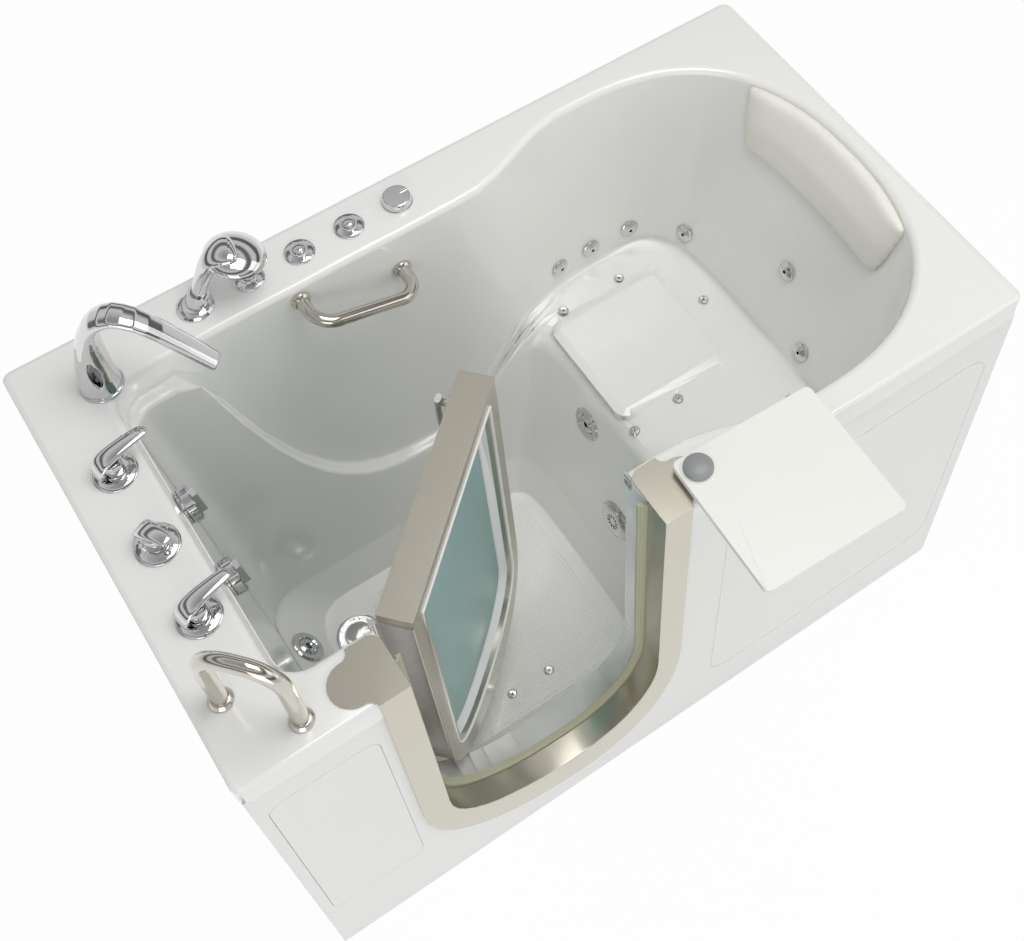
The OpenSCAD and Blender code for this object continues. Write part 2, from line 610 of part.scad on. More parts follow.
// The steel surround of the door opening, its caps and its rubber seal
module door_surround() color("darkkhaki") {
    slab(flange_y, flange_y + flange_t) difference() {
        opening(flange_w, flange_h, tub_h);
        opening(0, 0, tub_h + cut);
    }
    slab(flange_y + flange_t, lining_y) difference() {
        opening(lining_t, lining_t, tub_h);
        opening(0, 0, tub_h + cut);
    }
}
lobe_u = 62;
lobe_r = 34;
cap_l = 95;
cap_r = 18;
cap_front = 1;
module cap_outline() {
    lobe_v = cap_l - lobe_r - (lobe_u - flange_w);
    f = lobe_u - flange_w;
    square([flange_w, cap_l - cap_r]);
    translate([cap_r, 0]) square([flange_w - cap_r, cap_l]);
    translate([cap_r, cap_l - cap_r]) circle(cap_r, $fn = round_n);
    translate([lobe_u, lobe_v]) circle(lobe_r, $fn = round_n);
    difference() {
        translate([flange_w - play, lobe_v - lobe_r - f]) square([f + play, 2 * (lobe_r + f)]);
        for (s = [-1, 1]) translate([lobe_u, lobe_v + s * (lobe_r + f)]) circle(f, $fn = round_n);
    }
}
module left_jamb_cap() color("darkkhaki") translate([door_x0, flange_y, tub_h])
    mirror([1, 0, 0]) linear_extrude(cap_t) cap_outline();
module right_jamb_cap() color("darkkhaki") translate([door_x1, flange_y, tub_h])
    linear_extrude(cap_t) difference() {
        cap_outline();
        translate([tray_x - door_x1, tray_y - flange_y]) circle(post_foot_r + play, $fn = round_n);
    }
seal_drop = 12;
seal_top = tub_h - seal_drop;
seal_rib_share = 0.7;
module frame_seal() color("palegoldenrod") {
    rib = seal_t / 4;
    slab(lining_y, lining_y + rib) difference() {
        opening(lining_t - play, lining_t - play, seal_top);
        opening(-seal_lip / 2, -seal_lip / 2, tub_h);
    }
    slab(lining_y + rib, lining_y + 2 * rib) difference() {
        opening(lining_t - play, lining_t - play, seal_top);
        opening(-seal_rib_share * seal_lip, -seal_rib_share * seal_lip, tub_h);
    }
    slab(lining_y + 2 * rib, lining_y + seal_t - play) difference() {
        opening(-seal_lip / 3, -seal_lip / 3, seal_top);
        opening(-seal_lip, -seal_lip, tub_h);
    }
}

// The hinge: knuckles of the jamb leaf and of the door leaf take turns on one pin
knuckle_n = 13;
hinge_l = 520;
hinge_up = 20;
hinge_z0 = sill_h + leaf_rise + hinge_up;
knuckle_l = hinge_l / knuckle_n;
knuckle_r = 5.5;
pin_r = 2;
plate_t = 2;
function knuckle_z(i) = hinge_z0 + i * knuckle_l;
module knuckles(first) for (i = [first : 2 : knuckle_n - 1]) translate([hinge_x, hinge_y, knuckle_z(i)])
    difference() {
        cylinder(h = knuckle_l - play, r = knuckle_r, $fn = round_n);
        translate([0, 0, -cut]) cylinder(h = knuckle_l + 2 * cut, r = pin_r + play / 2, $fn = round_n);
    }
module hinge_plate(x, first) for (i = [0 : knuckle_n - 1])
    translate([x, leaf_y0 + plate_t, knuckle_z(i)]) cube([plate_t,
        hinge_y - leaf_y0 - plate_t - (i % 2 == first ? pin_r + play : knuckle_r + 2 * play), knuckle_l]);
module hinge_jamb_leaf() color("silver") {
    knuckles(0);
    hinge_plate(door_x0 - lining_t + play, 0);
    translate([hinge_x, hinge_y, hinge_z0]) cylinder(h = hinge_l - play, r = pin_r, $fn = round_n);
}
module hinge_door_leaf() color("silver") door_pose() {
    knuckles(1);
    hinge_plate(leaf_x0 - plate_t, 1);
}
module latch_strike() color("silver") translate([door_x1 + lining_t - play - plate_t, strike_y, strike_z])
    rotate([0, 90, 0]) difference() {
        translate([-bolt_h, -bolt_h / 2, 0]) cube([2 * bolt_h, bolt_h, plate_t]);
        translate([0, 0, -cut]) cylinder(h = plate_t + 2 * cut, r = bolt_h / 2 + 1, $fn = round_n);
    }

// The door leaf: a hollow steel frame round the glass
stile_hinge = 38;
stile_latch = 42;
rail_top = 38;
rail_low = 102;
glass_in = 18;
glass_t = 6;
glass_lip = 9;
skin_t = 4;
aperture_up = 15;
glass_play = 2;
module aperture(g) polygon(u_pts(leaf_x0 + stile_hinge - g, leaf_x1 - stile_latch + g,
    sill_h - leaf_drop + rail_low - g, sill_h + leaf_rise - aperture_up, leaf_top - rail_top + g));
module door_frame() color("darkkhaki") door_pose() difference() {
    slab(leaf_y0, leaf_y1) leaf_outline(0, 0, 0);
    slab(leaf_y0 - cut, leaf_y1 + cut) aperture(0);
    slab(leaf_y0 + glass_in, leaf_y0 + glass_in + glass_t + 2 * skin_t) aperture(glass_lip);
    translate([leaf_x1 - bolt_in - cut, strike_y, strike_z]) rotate([0, 90, 0])
        cylinder(h = bolt_in + 2 * cut, r = bolt_h / 2 + play, $fn = round_n);
    translate([spindle_x, leaf_y1 - bolt_in, strike_z]) rotate([-90, 0, 0])
        cylinder(h = bolt_in + cut, r = spindle_r + play, $fn = round_n);
}
module door_glass() color("cadetblue") door_pose()
    slab(leaf_y0 + glass_in + skin_t, leaf_y0 + glass_in + skin_t + glass_t) aperture(glass_lip - glass_play);
module glass_gasket() color("white") door_pose() for (y = [leaf_y0 + glass_in, leaf_y0 + glass_in + glass_t + skin_t])
    slab(y + play, y + skin_t - play) difference() {
        aperture(glass_lip - play);
        aperture(-2 * skin_t);
    }
bolt_in = 34;
bolt_rest = 5;
spindle_r = 6;
spindle_in = 12;
spindle_x = leaf_x1 - bolt_in - spindle_in;
module latch_bolt() color("silver") door_pose() translate([leaf_x1 - bolt_in + 2 * cut, strike_y, strike_z])
    rotate([0, 90, 0]) cylinder(h = bolt_in - 2 * cut + bolt_rest, r = bolt_h / 2 - play, $fn = round_n);
lever_l = 92;
latch_out = 22;
rose_r = 15;
rose_t = 5;
latch_w = 8;
latch_t = 5;
latch_play = 2;
latch_back = 9;
latch_bow = 3;
module latch_handle() color("silver") door_pose() translate([spindle_x, leaf_y1, strike_z]) {
    rotate([-90, 0, 0]) translate([0, 0, -bolt_in / 2])
        cylinder(h = bolt_in / 2 + latch_out, r = spindle_r, $fn = round_n);
    rotate([-90, 0, 0]) translate([0, 0, play]) cylinder(h = rose_t, r = rose_r, $fn = round_n);
    translate([0, latch_out - latch_play, 0]) rotate([0, 90, 90]) swept([for (i = [0 : 6])
        let (u = i / 6) [-latch_back + (lever_l + latch_back) * u, latch_bow * sin(180 * u),
            8 * cos(180 * u), latch_w * (1 - u / 4), latch_t * (1 - u / 5)]]);
}

// The tray on its post: the post's pin carries the tray, and the knob holds it down
post_foot_r = 15;
post_r = 8;
post_h = 12;
tray_edge = 28;
tray_corner_r = 10;
tray_turn = -2;
tray_z = tub_h + post_h;
tail_l = 30;
post_over = 4;
tray_boss_h = 2;
tray_boss_r = 26;
module tray_post() color("silver") translate([tray_x, tray_y, tub_h]) {
    translate([0, 0, -tail_l]) cylinder(h = tail_l, r = tail_r - play, $fn = round_n);
    cylinder(h = post_h - play, r = post_foot_r, $fn = round_n);
    cylinder(h = post_h + tray_t + post_over, r = post_r, $fn = round_n);
}
module swivel_tray() color("whitesmoke") translate([tray_x, tray_y, tray_z]) rotate(tray_turn)
    difference() {
        union() {
            translate([-tray_edge, tray_edge - tray_w, 0]) linear_extrude(tray_t)
                rounded(tray_l, tray_w, tray_corner_r);
            translate([0, 0, tray_t]) cylinder(h = tray_boss_h, r = tray_boss_r, $fn = round_n);
        }
        translate([0, 0, -cut]) cylinder(h = tray_t + 3 * cut, r = post_r + play, $fn = round_n);
    }
tray_knob_r = 22;
tray_knob_h = 13;
knob_in_share = [1 / 22, 1 / 11, 4 / 11];
knob_up_share = [2 / 13, 5 / 13, 8 / 13, 11 / 13];
module tray_knob() color("slategray") translate([tray_x, tray_y, tray_z + tray_t + tray_boss_h + play]) difference() {
    r = tray_knob_r;
    h = tray_knob_h;
    turned([[0, 0], [r * (1 - knob_in_share[0]), 0], [r, h * knob_up_share[0]],
        [r, h * knob_up_share[1]], [r * (1 - knob_in_share[1]), h * knob_up_share[2]],
        [r * (1 - knob_in_share[2]), h * knob_up_share[3]], [0, h]]);
    translate([0, 0, -cut]) cylinder(h = cut + post_over - 1, r = post_r + play, $fn = round_n);
}

// The head cushion follows the round of the rim
rest_from = -29;
rest_to = 35;
rest_h = 130;
rest_low_share = 0.72;
rest_t = 26;
rest_n = 22;
rest_ring_n = 16;
rest_gap = 1.6;
rest_drop = 4;
rest_edge_share = 0.35;
function rest_pt(i, v, w) = let (z = tub_h - rest_drop - rest_h * (1 - v), zw = min(z, tub_h - rim_r - shell_t),
    m = (rest_from + rest_to) / 2, t = m + (rest_from + (rest_to - rest_from) * i / rest_n - m)
        * (rest_low_share + (1 - rest_low_share) * v),
    k = head_wall(t, zw), d = head_dir(t, zw))
    [k[0], k[1], z] + d * (rest_gap + w * (rest_edge_share + (1 - rest_edge_share) * min(1, 2 * v)));
function rest_ring(i) = let (s = 2 * i / rest_n - 1, full = pow(max(0.04, 1 - pow(abs(s), 6)), 0.5))
    [for (j = [0 : rest_ring_n - 1]) let (a = -360 * j / rest_ring_n)
        rest_pt(i, 0.5 + 0.5 * (0.94 + 0.06 * full) * spow(cos(a), 0.45),
            rest_t * full * (0.5 - 0.5 * spow(sin(a), 0.7)))];
module headrest() color("beige") loft([for (i = [0 : rest_n]) rest_ring(i)]);

// Rails: two legs and a bar with round bends, standing up from the xy plane
module rail(l, off, bend, r) {
    for (x = [0, l]) rod([x, 0, 0], [x, 0, off - bend], r);
    rod([bend, 0, off], [l - bend, 0, off], r);
    for (c = [[l - bend, 0], [bend, 90]]) translate([c[0], 0, off - bend]) rotate([90, 0, 0])
        rotate([0, 0, c[1]]) rotate_extrude(angle = 90, $fn = round_n) translate([bend, 0])
            circle(r, $fn = round_n);
    for (x = [0, l]) translate([x, 0, 0]) turned([[0, 0], [1.5 * r, 0], [1.5 * r, r / 3], [1.15 * r, 0.8 * r], [0, 0.8 * r]]);
}
grab_in = [439, 613];
grab_drop = [30, 84];
grab_a = [x_foot + grab_in[0], tub_h - grab_drop[0]];
grab_b = [x_foot + grab_in[1], tub_h - grab_drop[1]];
grab_off = 60;
grab_bend = 36;
module grab_rail() color("silver") {
    d = grab_b - grab_a;
    y = back_wall(grab_a[0], grab_b[1])[1];
    translate([grab_a[0], y - play, grab_a[1]]) rotate([90, 0, 0]) rotate([0, 0, atan2(d[1], d[0])])
        rail(norm(d), grab_off, grab_bend, rail_d / 2);
}
handle_h = 165;
handle_bend = 48;
module deck_handle() color("silver") {
    d = handle_b - handle_a;
    translate([handle_a[0], handle_a[1], tub_h]) rotate([0, 0, atan2(d[1], d[0])])
        rail(norm(d), handle_h, handle_bend, rail_d / 2 + 1);
}

// The spout: a swept body that stands on the deck and arches over the well
spout_turn = -36;
spout_h = 186;
// Stations of the spout in 186ths of its height, with their slopes in degrees
spout_share = [[0, 0, 90, 30, 30], [0, 30, 88, 29, 28], [5, 68, 82, 27, 24], [11, 105, 76, 25, 19],
    [21, 142, 66, 23, 14], [40, 172, 42, 22, 11], [66, 186, 6, 21, 9], [95, 177, -30, 20, 8],
    [124, 149, -47, 19, 8], [154, 112, -51, 18, 8], [186, 72, -52, 17, 8]];
function sized(rows, k) = [for (q = rows) [q[0] * k, q[1] * k, q[2], q[3] * k, q[4] * k]];
loop_at = [13, 62];
loop_r = 70;
loop_off = 62;
loop_turn = -4;
spout_tail = 40;
module spout() color("gainsboro") translate([spout_x, spout_y, tub_h]) rotate(spout_turn) {
    difference() {
        swept(sized(spout_share, spout_h / 186));
        translate([loop_at[0], 0, loop_at[1]]) rotate([90, 0, 0])
            linear_extrude(2 * spout_d, center = true) rotate(loop_turn) intersection() {
                translate([-loop_off, 0]) circle(loop_r, $fn = 2 * round_n);
                translate([loop_off, 0]) circle(loop_r, $fn = 2 * round_n);
            }
    }
    translate([0, 0, -spout_tail]) cylinder(h = spout_tail + cut, r = tail_r - play, $fn = round_n);
}

// The hand shower stands in its holder on the deck
holder_turn = -8;
holder_lean = 23;
grip_r = 12;
holder_off = 2;
holder_h = 6;
cup_l = 26;
cup_wall = 4;
holder_neck_r = 18;
holder_share = [3, 8, 11];
module shower_holder() color("gainsboro") translate([holder_x, row_y, tub_h]) rotate(holder_turn) {
    k = holder_d / 58;
    difference() {
        union() {
            turned([[0, 0], [holder_d / 2, 0], [holder_d / 2, holder_share[0] * k],
                [holder_d / 2 - cup_wall, holder_share[1] * k], [holder_neck_r, holder_share[2] * k],
                [0, holder_share[2] * k]]);
            translate([holder_off, 0, holder_h]) rotate([0, holder_lean, 0]) cylinder(h = cup_l, r = grip_r + cup_wall, $fn = round_n);
            translate([0, 0, -tail_l]) cylinder(h = tail_l + 1, r = tail_r - play, $fn = round_n);
        }
        translate([holder_off, 0, holder_h]) rotate([0, holder_lean, 0]) translate([0, 0, cut])
            cylinder(h = cup_l + 2 * cut, r = grip_r + play, $fn = round_n);
    }
}
head_r = 47;
head_lean = -8;
head_at = [42, 110];
// Stations of the handle and outline of the head, in 47ths of the head's radius
handle_share = [[0, 38, 90, 11.6, 11.6], [0, 60, 88, 14, 12], [2, 82, 78, 18, 13],
    [10, 102, 60, 24, 14], [26, 118, 30, 30, 13]];
head_share = [[39, -16], [40, -14], [47, -14], [47, -9], [43, -2], [33, 6], [19, 11]];
module hand_shower() color("gainsboro") translate([holder_x, row_y, tub_h]) rotate(holder_turn)
    translate([holder_off, 0, holder_h]) rotate([0, holder_lean, 0]) {
        k = head_r / 47;
        swept(concat([[0, cut + play, 90, 11.6 * k, 11.6 * k]], sized(handle_share, k)));
        translate([head_at[0] * k, 0, head_at[1] * k]) rotate([0, head_lean, 0])
            turned(concat([[0, -16 * k]], head_share * k, [[0, 13 * k]]));
    }

// Valves and their levers
stem_r = 8;
hub_r = 16;
valve_l = 70;
supply_r = 10.5;
hub_h = 24;
socket_h = 20;
// Outline of a valve plate in 68ths of its diameter
plate_edge_share = [3, 6, 9, 4];
module valve(y) translate([plate_x, y, tub_h]) {
    k = plate_d / 68;
    turned([[0, 0], [plate_d / 2, 0], [plate_d / 2, plate_edge_share[0] * k],
        [plate_d / 2 - plate_edge_share[3] * k, plate_edge_share[1] * k],
        [hub_r + plate_edge_share[0] * k, plate_h], [0, plate_h]]);
    cylinder(h = stem_h, r = stem_r, $fn = round_n);
    translate([0, 0, -valve_l / 2]) cylinder(h = valve_l / 2, r = tail_r - play, $fn = round_n);
    translate([0, 0, -valve_l]) cylinder(h = valve_l / 2, r = supply_r, $fn = round_n);
}
plate_h = 9 * plate_d / 68;
stem_h = plate_h + socket_h - 1;
// Stations of a lever blade: at its hub in 16ths of the hub radius, then along its reach
blade_share = [[-24, 1, 96, 9, 2], [-25, 12, 88, 14, 3], [-20, 27, 55, 15, 5], [-6, 36, 18, 15, 6]];
reach_share = [[0.35, 38, 2, 13, 5], [0.7, 38, 0, 11, 4], [1, 37, -3, 9, 3]];
module lever(y, turn, reach) translate([plate_x, y, tub_h + plate_h + play]) rotate(turn)
    difference() {
        k = hub_r / 16;
        union() {
            cylinder(h = hub_h, r = hub_r, $fn = round_n);
            swept(concat(sized(blade_share, k), [for (q = reach_share)
                [reach * q[0], q[1] * k, q[2], q[3] * k, q[4] * k]]));
        }
        translate([0, 0, -cut]) cylinder(h = socket_h + cut, r = stem_r + play, $fn = round_n);
    }
lever_reach = [68, 66, 36];
lever_turn = [10, 12, -66];
module hot_valve() color("gainsboro") valve(hot_y);
module cold_valve() color("gainsboro") valve(cold_y);
module diverter_valve() color("gainsboro") valve(diverter_y);
module hot_lever() color("silver") lever(hot_y, lever_turn[0], lever_reach[0]);
module cold_lever() color("silver") lever(cold_y, lever_turn[1], lever_reach[1]);
module diverter_knob() color("silver") lever(diverter_y, lever_turn[2], lever_reach[2]);

// Push buttons and the air dial on the back deck
button_r = 10;
button_travel = 3;
button_tail = 22;
bezel_tail = 26;
// Outlines of a bezel and of a button above the deck, in 50ths of the bezel's diameter
bezel_share = [2, 5, 7, 9, 3, 4];
button_share = [13, 15, 16, 3];
module at_button(i) translate([button_x + i * button_step, row_y, tub_h]) children();
module button_bezels() color("gainsboro") for (i = [0 : 2]) at_button(i) {
    k = bezel_d / 50;
    turned([[button_r + play, -bezel_tail], [tail_r - play, -bezel_tail], [tail_r - play, 0],
        [bezel_d / 2, 0], [bezel_d / 2, bezel_share[0] * k],
        [bezel_d / 2 - bezel_share[4] * k, bezel_share[1] * k],
        [button_r + bezel_share[5] * k, bezel_share[2] * k],
        [button_r + bezel_share[5] * k, bezel_share[3] * k], [button_r + play, bezel_share[3] * k]]);
}
module push_button(i) at_button(i) {
    k = bezel_d / 50;
    turned([[0, -button_tail], [button_r, -button_tail], [button_r, button_share[0] * k],
        [button_r - button_share[3] * k, button_share[1] * k], [0, button_share[2] * k]]);
}
module push_button_1() color("silver") push_button(0);
module push_button_2() color("silver") push_button(1);
module push_button_3() color("silver") push_button(2);
dial_h = 13;
dial_base_t = 2;
dial_pin_r = 5;
dial_roof = 3;
dial_edge_share = [1, 4, 3, 12, 5];
notch_w = 8;
module air_dial_base() color("gainsboro") translate([dial_x, row_y, tub_h]) {
    turned([[0, -tail_l], [tail_r - play, -tail_l], [tail_r - play, 0], [bezel_d / 2, 0],
        [bezel_d / 2, dial_base_t], [0, dial_base_t]]);
    cylinder(h = dial_h - dial_roof, r = dial_pin_r, $fn = round_n);
}
module air_dial() color("silver") translate([dial_x, row_y, tub_h + dial_base_t + play]) difference() {
    k = dial_h / 13;
    turned([[0, 0], [bezel_d / 2 - dial_edge_share[0] * k, 0],
        [bezel_d / 2 - dial_edge_share[0] * k, dial_edge_share[1] * k],
        [bezel_d / 2 - dial_edge_share[2] * k, dial_edge_share[3] * k],
        [bezel_d / 2 - dial_edge_share[4] * k, dial_h], [0, dial_h]]);
    translate([0, 0, -cut])
        cylinder(h = dial_h - dial_roof + cut, r = dial_pin_r + play, $fn = round_n);
    translate([notch_w, -notch_w / 2, dial_h - dial_roof]) cube([bezel_d, notch_w, dial_h]);
}

// Waste controls on the foot wall, and the two drains that they open
drum_r = 29;
module at_knob(i) on(knob_spot(i), knob_dir) children();
base_t = 4;
base_up = 1;
knob_tail = 30;
knob_pin_h = 18;
knob_pin_r = 5;
drum_top = 16;
drum_edge = 2;
grip_w = 14;
grip_h = 9;
grip_sink = 1;
grip_in = 3;
module waste_controls() color("silver") for (i = [0, 1]) at_knob(i) {
    translate([0, 0, base_up]) cylinder(h = base_t, r = drum_r - base_up, $fn = round_n);
    translate([0, 0, -knob_tail]) cylinder(h = knob_tail + cut, r = knob_r - play, $fn = round_n);
    cylinder(h = knob_pin_h, r = knob_pin_r, $fn = round_n);
}
module waste_knob(i) at_knob(i) translate([0, 0, base_up + base_t + play]) difference() {
    union() {
        turned([[0, 0], [drum_r - drum_edge, 0], [drum_r, drum_edge], [drum_r, drum_top - drum_edge],
            [drum_r - drum_edge, drum_top], [0, drum_top]]);
        translate([grip_in - drum_r, -grip_w / 2, drum_top - grip_sink])
            cube([2 * (drum_r - grip_in), grip_w, grip_h]);
    }
    translate([0, 0, -cut])
        cylinder(h = knob_pin_h - base_t + cut, r = knob_pin_r + play, $fn = round_n);
}
module waste_knob_1() color("silver") waste_knob(0);
module waste_knob_2() color("silver") waste_knob(1);
stopper_lift = 8;
drain_tail = 16;
// Outlines of a drain flange and its stopper, in 88ths of the flange's diameter
flange_share = [2, 4, 2.5, 6, 14];
stopper_share = [3, 5, 8, 11, 8, 4];
stopper_pin_r = 4;
guide_l = 18;
guide_t = 2;
module drain_bodies() color("gainsboro") for (i = [0, 1]) translate(drain_spot(i)) {
    k = drain_d / 88;
    turned([[waste_bore / 2, -drain_tail], [drain_r - play, -drain_tail], [drain_r - play, play],
        [drain_d / 2, play], [drain_d / 2, flange_share[0] * k],
        [drain_d / 2 - flange_share[3] * k, flange_share[1] * k],
        [drain_d / 2 - flange_share[4] * k, flange_share[2] * k],
        [waste_bore / 2, flange_share[2] * k]]);
}
module drain_stopper(i) translate(drain_spot(i)) {
    k = drain_d / 88;
    cap = waste_bore / 2 + stopper_share[4] * k;
    turned([[0, stopper_share[0] * k], [cap, stopper_share[0] * k], [cap, stopper_share[1] * k],
        [cap - stopper_share[5] * k, stopper_share[2] * k], [0, stopper_share[3] * k]]);
    translate([0, 0, -drain_tail / 2])
        cylinder(h = drain_tail / 2 + stopper_pin_r, r = stopper_pin_r, $fn = round_n);
    for (a = [0, 90]) rotate(a) translate([guide_t / 2 - waste_bore / 2, -guide_t / 2, guide_t - drain_tail])
        cube([waste_bore - guide_t, guide_t, guide_l]);
}
module drain_stopper_1() color("silver") drain_stopper(0);
module drain_stopper_2() color("silver") drain_stopper(1);
pipe_wall = 3;
waste_in = 50;
waste_end_x = x_foot + waste_in;
waste_bend = waste_bore / 2 + 2 * pipe_wall;
waste_z = floor_z - drain_tail - play - pipe_wall - waste_bend;
module waste_pipes() color("dimgray") for (i = [0, 1]) translate([0, drain_spot(i)[1], 0]) {
    bend = waste_bore / 2 + 2 * pipe_wall;
    top = floor_z - drain_tail - play;
    for (r = [waste_bore / 2]) difference() {
        bent(top, bend, r + pipe_wall, 0);
        bent(top, bend, r, cut);
    }
}
module bent(top, bend, r, over) {
    translate([drain_x, 0, top - pipe_wall]) cylinder(h = pipe_wall + over, r = r, $fn = round_n);
    translate([drain_x - bend, 0, top - pipe_wall]) rotate([90, 0, 0]) rotate([0, 0, -90])
        rotate_extrude(angle = 90, $fn = round_n) translate([bend, 0]) circle(r, $fn = round_n);
    translate([waste_end_x - over, 0, top - pipe_wall - bend]) rotate([0, 90, 0])
        cylinder(h = drain_x - bend - waste_end_x + over, r = r, $fn = round_n);
}

// Jets, suction, air nozzles and what feeds them
lift = 1;
micro_lift = 3;
module micro_jets() color("silver") for (s = micro_spots) on(s[0], s[1]) turned([[3, 0], [3, 9],
    [8, 8], [micro_d / 2 - 2, 5], [micro_d / 2, micro_lift], [micro_r - play, micro_lift],
    [micro_r - play, -24], [3, -24]]);
jet_ball_r = hydro_r - 5 - play;
jet_bore = 6;
module jet_body() turned([[hydro_r - 5, lift], [hydro_r - 2, 4], [hydro_d / 2 - 3, 4], [hydro_d / 2, lift],
    [hydro_r - play, lift], [hydro_r - play, -jet_tail], [14, -jet_tail], [14, -26], [hydro_r - 5, -26]]);
module jet_nozzle() difference() {
    union() {
        turned([[jet_bore, -20], [14, -20], [jet_ball_r, -8], [jet_ball_r, 1], [14, 5], [jet_bore + 2, 5], [jet_bore, 3]]);
    }
    for (a = [0, 120, 240]) rotate(a) translate([11, 0, 0]) cylinder(h = 9, r = 1.6, $fn = round_n);
}
module hydro_jet_bodies() color("silver") {
    on(seat_jet, seat_jet_dir) jet_body();
    on(side_jet, side_jet_dir) jet_body();
    on(foot_jet, foot_jet_dir) jet_body();
}
module foot_jet_nozzle() color("gainsboro") on(foot_jet, foot_jet_dir) jet_nozzle();
module seat_jet_nozzle() color("gainsboro") on(seat_jet, seat_jet_dir) jet_nozzle();
module side_jet_nozzle() color("gainsboro") on(side_jet, side_jet_dir) jet_nozzle();
cover_r = 40;
cover_n = 12;
module suction_cover() color("gainsboro") on(suction_spot, suction_dir) difference() {
    union() {
        turned([[0, 6], [cover_r - 14, 8], [cover_r - 3, 4], [cover_r, lift], [hydro_r - play, lift],
            [hydro_r - play, -30], [hydro_r - 5, -30], [hydro_r - 5, 2], [0, 2]]);
    }
    for (i = [0 : cover_n - 1]) rotate(360 * i / cover_n) translate([8, -1.4, 0]) cube([9, 2.8, 10]);
}
suction_end = suction_spot - 34.5 * suction_dir;
pump_x = cross_x(2) - 22;
pump_r = 62;
pump_z = suction_end[2];
module suction_pipe() color("lightgray") rod(suction_end, [pump_x - play, suction_end[1], pump_z], hydro_r - 4);
module air_injectors() color("silver") {
    for (s = air_spots) on(s[0], s[1]) air_nozzle(air_tail);
    for (x = floor_air_x) translate([x, floor_air_y, floor_z]) air_nozzle(floor_tail);
}
module air_nozzle(tail) turned([[1.5, play], [1.5, 2.5], [nozzle_d / 2 - 3, 3], [nozzle_d / 2, play],
    [air_r - play, play], [air_r - play, -tail], [1.5, -tail]]);
module water_pump() color("dimgray") translate([pump_x, suction_end[1], pump_z]) {
    rotate([0, 90, 0]) {
        cylinder(h = 52, r = pump_r, $fn = round_n);
        translate([0, 0, 52]) cylinder(h = 130, r = pump_r - 8, $fn = round_n);
        translate([0, 0, 182]) cylinder(h = 24, r = pump_r - 14, $fn = round_n);
        for (i = [0 : 5]) translate([0, 0, 66 + 18 * i]) cylinder(h = 5, r = pump_r - 4, $fn = round_n);
    }
    translate([26, 0, 0]) cylinder(h = pump_r + 14, r = 18, $fn = round_n);
    translate([20, -45, foot_h + tube_s - pump_z]) cube([170, 90, 6]);
    for (x = [60, 150]) translate([x, -36, foot_h + tube_s - pump_z])
        cube([10, 72, pump_z - foot_h - tube_s - pump_r / 2]);
}
feed_r = 12;
jet_tail = 34;
function jet_stub(p, d, more) = p - (jet_tail + play + 2 * more) * d / norm(d);
feed_x = face_x(seat_z - 110) + 50;
feed_z = seat_z - 107;
back_run_y = y_back - 78;
foot_run_x = x_foot + 38;
riser_z = pump_z + pump_r + 14 + play + feed_r;
riser = [[pump_x + 26, suction_end[1], riser_z], [feed_x, suction_end[1], riser_z],
    [feed_x, suction_end[1], feed_z]];
feed = [[feed_x, side_jet[1] - feed_r, feed_z], [feed_x, back_run_y, feed_z],
    [foot_run_x, back_run_y, feed_z], [foot_run_x, back_run_y, foot_jet[2]],
    [foot_run_x, foot_jet[1], foot_jet[2]], jet_stub(foot_jet, foot_jet_dir, feed_r),
    jet_stub(foot_jet, foot_jet_dir, 0)];
// Straight pipe along points, with a round fitting at each inner point
joint_t = 3;
function unit(v) = v / norm(v);
module piped(pts, r) {
    for (i = [0 : len(pts) - 2]) rod(pts[i], pts[i + 1], r);
    for (i = [1 : len(pts) - 2]) tee(pts[i], r);
}
// A ball fitting, turned so that no pipe meets its poles
joint_turn = [25, 35, 0];
module tee(p, r) translate(p) rotate(joint_turn) sphere(r + joint_t, $fn = round_n);
module pressure_pipe() color("lightgray") {
    piped(feed, feed_r);
    piped(riser, feed_r - 1);
    tee(riser[2], feed_r);
    for (p = [[seat_jet, seat_jet_dir], [side_jet, side_jet_dir]]) let (q = [feed_x, p[0][1], feed_z]) {
        piped([q, jet_stub(p[0], p[1], feed_r), jet_stub(p[0], p[1], 0)], feed_r - 1);
        tee(q, feed_r);
    }
}
blower_x = cross_x(3) + 22;
blower_y = y_back - 200;
blower_r = 64;
blower_h = 150;
module air_blower() color("dimgray") translate([blower_x, blower_y, foot_h + tube_s]) {
    translate([-70, -70, 0]) cube([140, 140, 4]);
    cylinder(h = blower_h, r = blower_r, $fn = round_n);
    translate([0, 0, blower_h]) cylinder(h = 20, r1 = blower_r, r2 = 20, $fn = round_n);
    translate([0, 0, blower_h]) cylinder(h = 40, r = 14, $fn = round_n);
}
air_pipe_r = 9;
air_tail = 34;
floor_tail = 34;
air_low_z = floor_z - floor_tail - play - air_pipe_r;
riser_x = nose_x + 35;
air_ends = [for (s = air_spots) s[0] - (air_tail + play + air_pipe_r + joint_t) * s[1] / norm(s[1])];
air_mid = air_ends[2] + (air_ends[3] - air_ends[2]) / 2;
air_run = [air_ends[0], air_ends[1], air_ends[2], air_mid, air_ends[3],
    [air_ends[4][0] + 5 * air_pipe_r, air_ends[3][1], air_ends[3][2]], air_ends[4], air_ends[5],
    [riser_x, floor_air_y, air_ends[5][2]], [riser_x, floor_air_y, air_low_z],
    [floor_air_x[1] - air_r, floor_air_y, air_low_z]];
low_run_drop = 60;
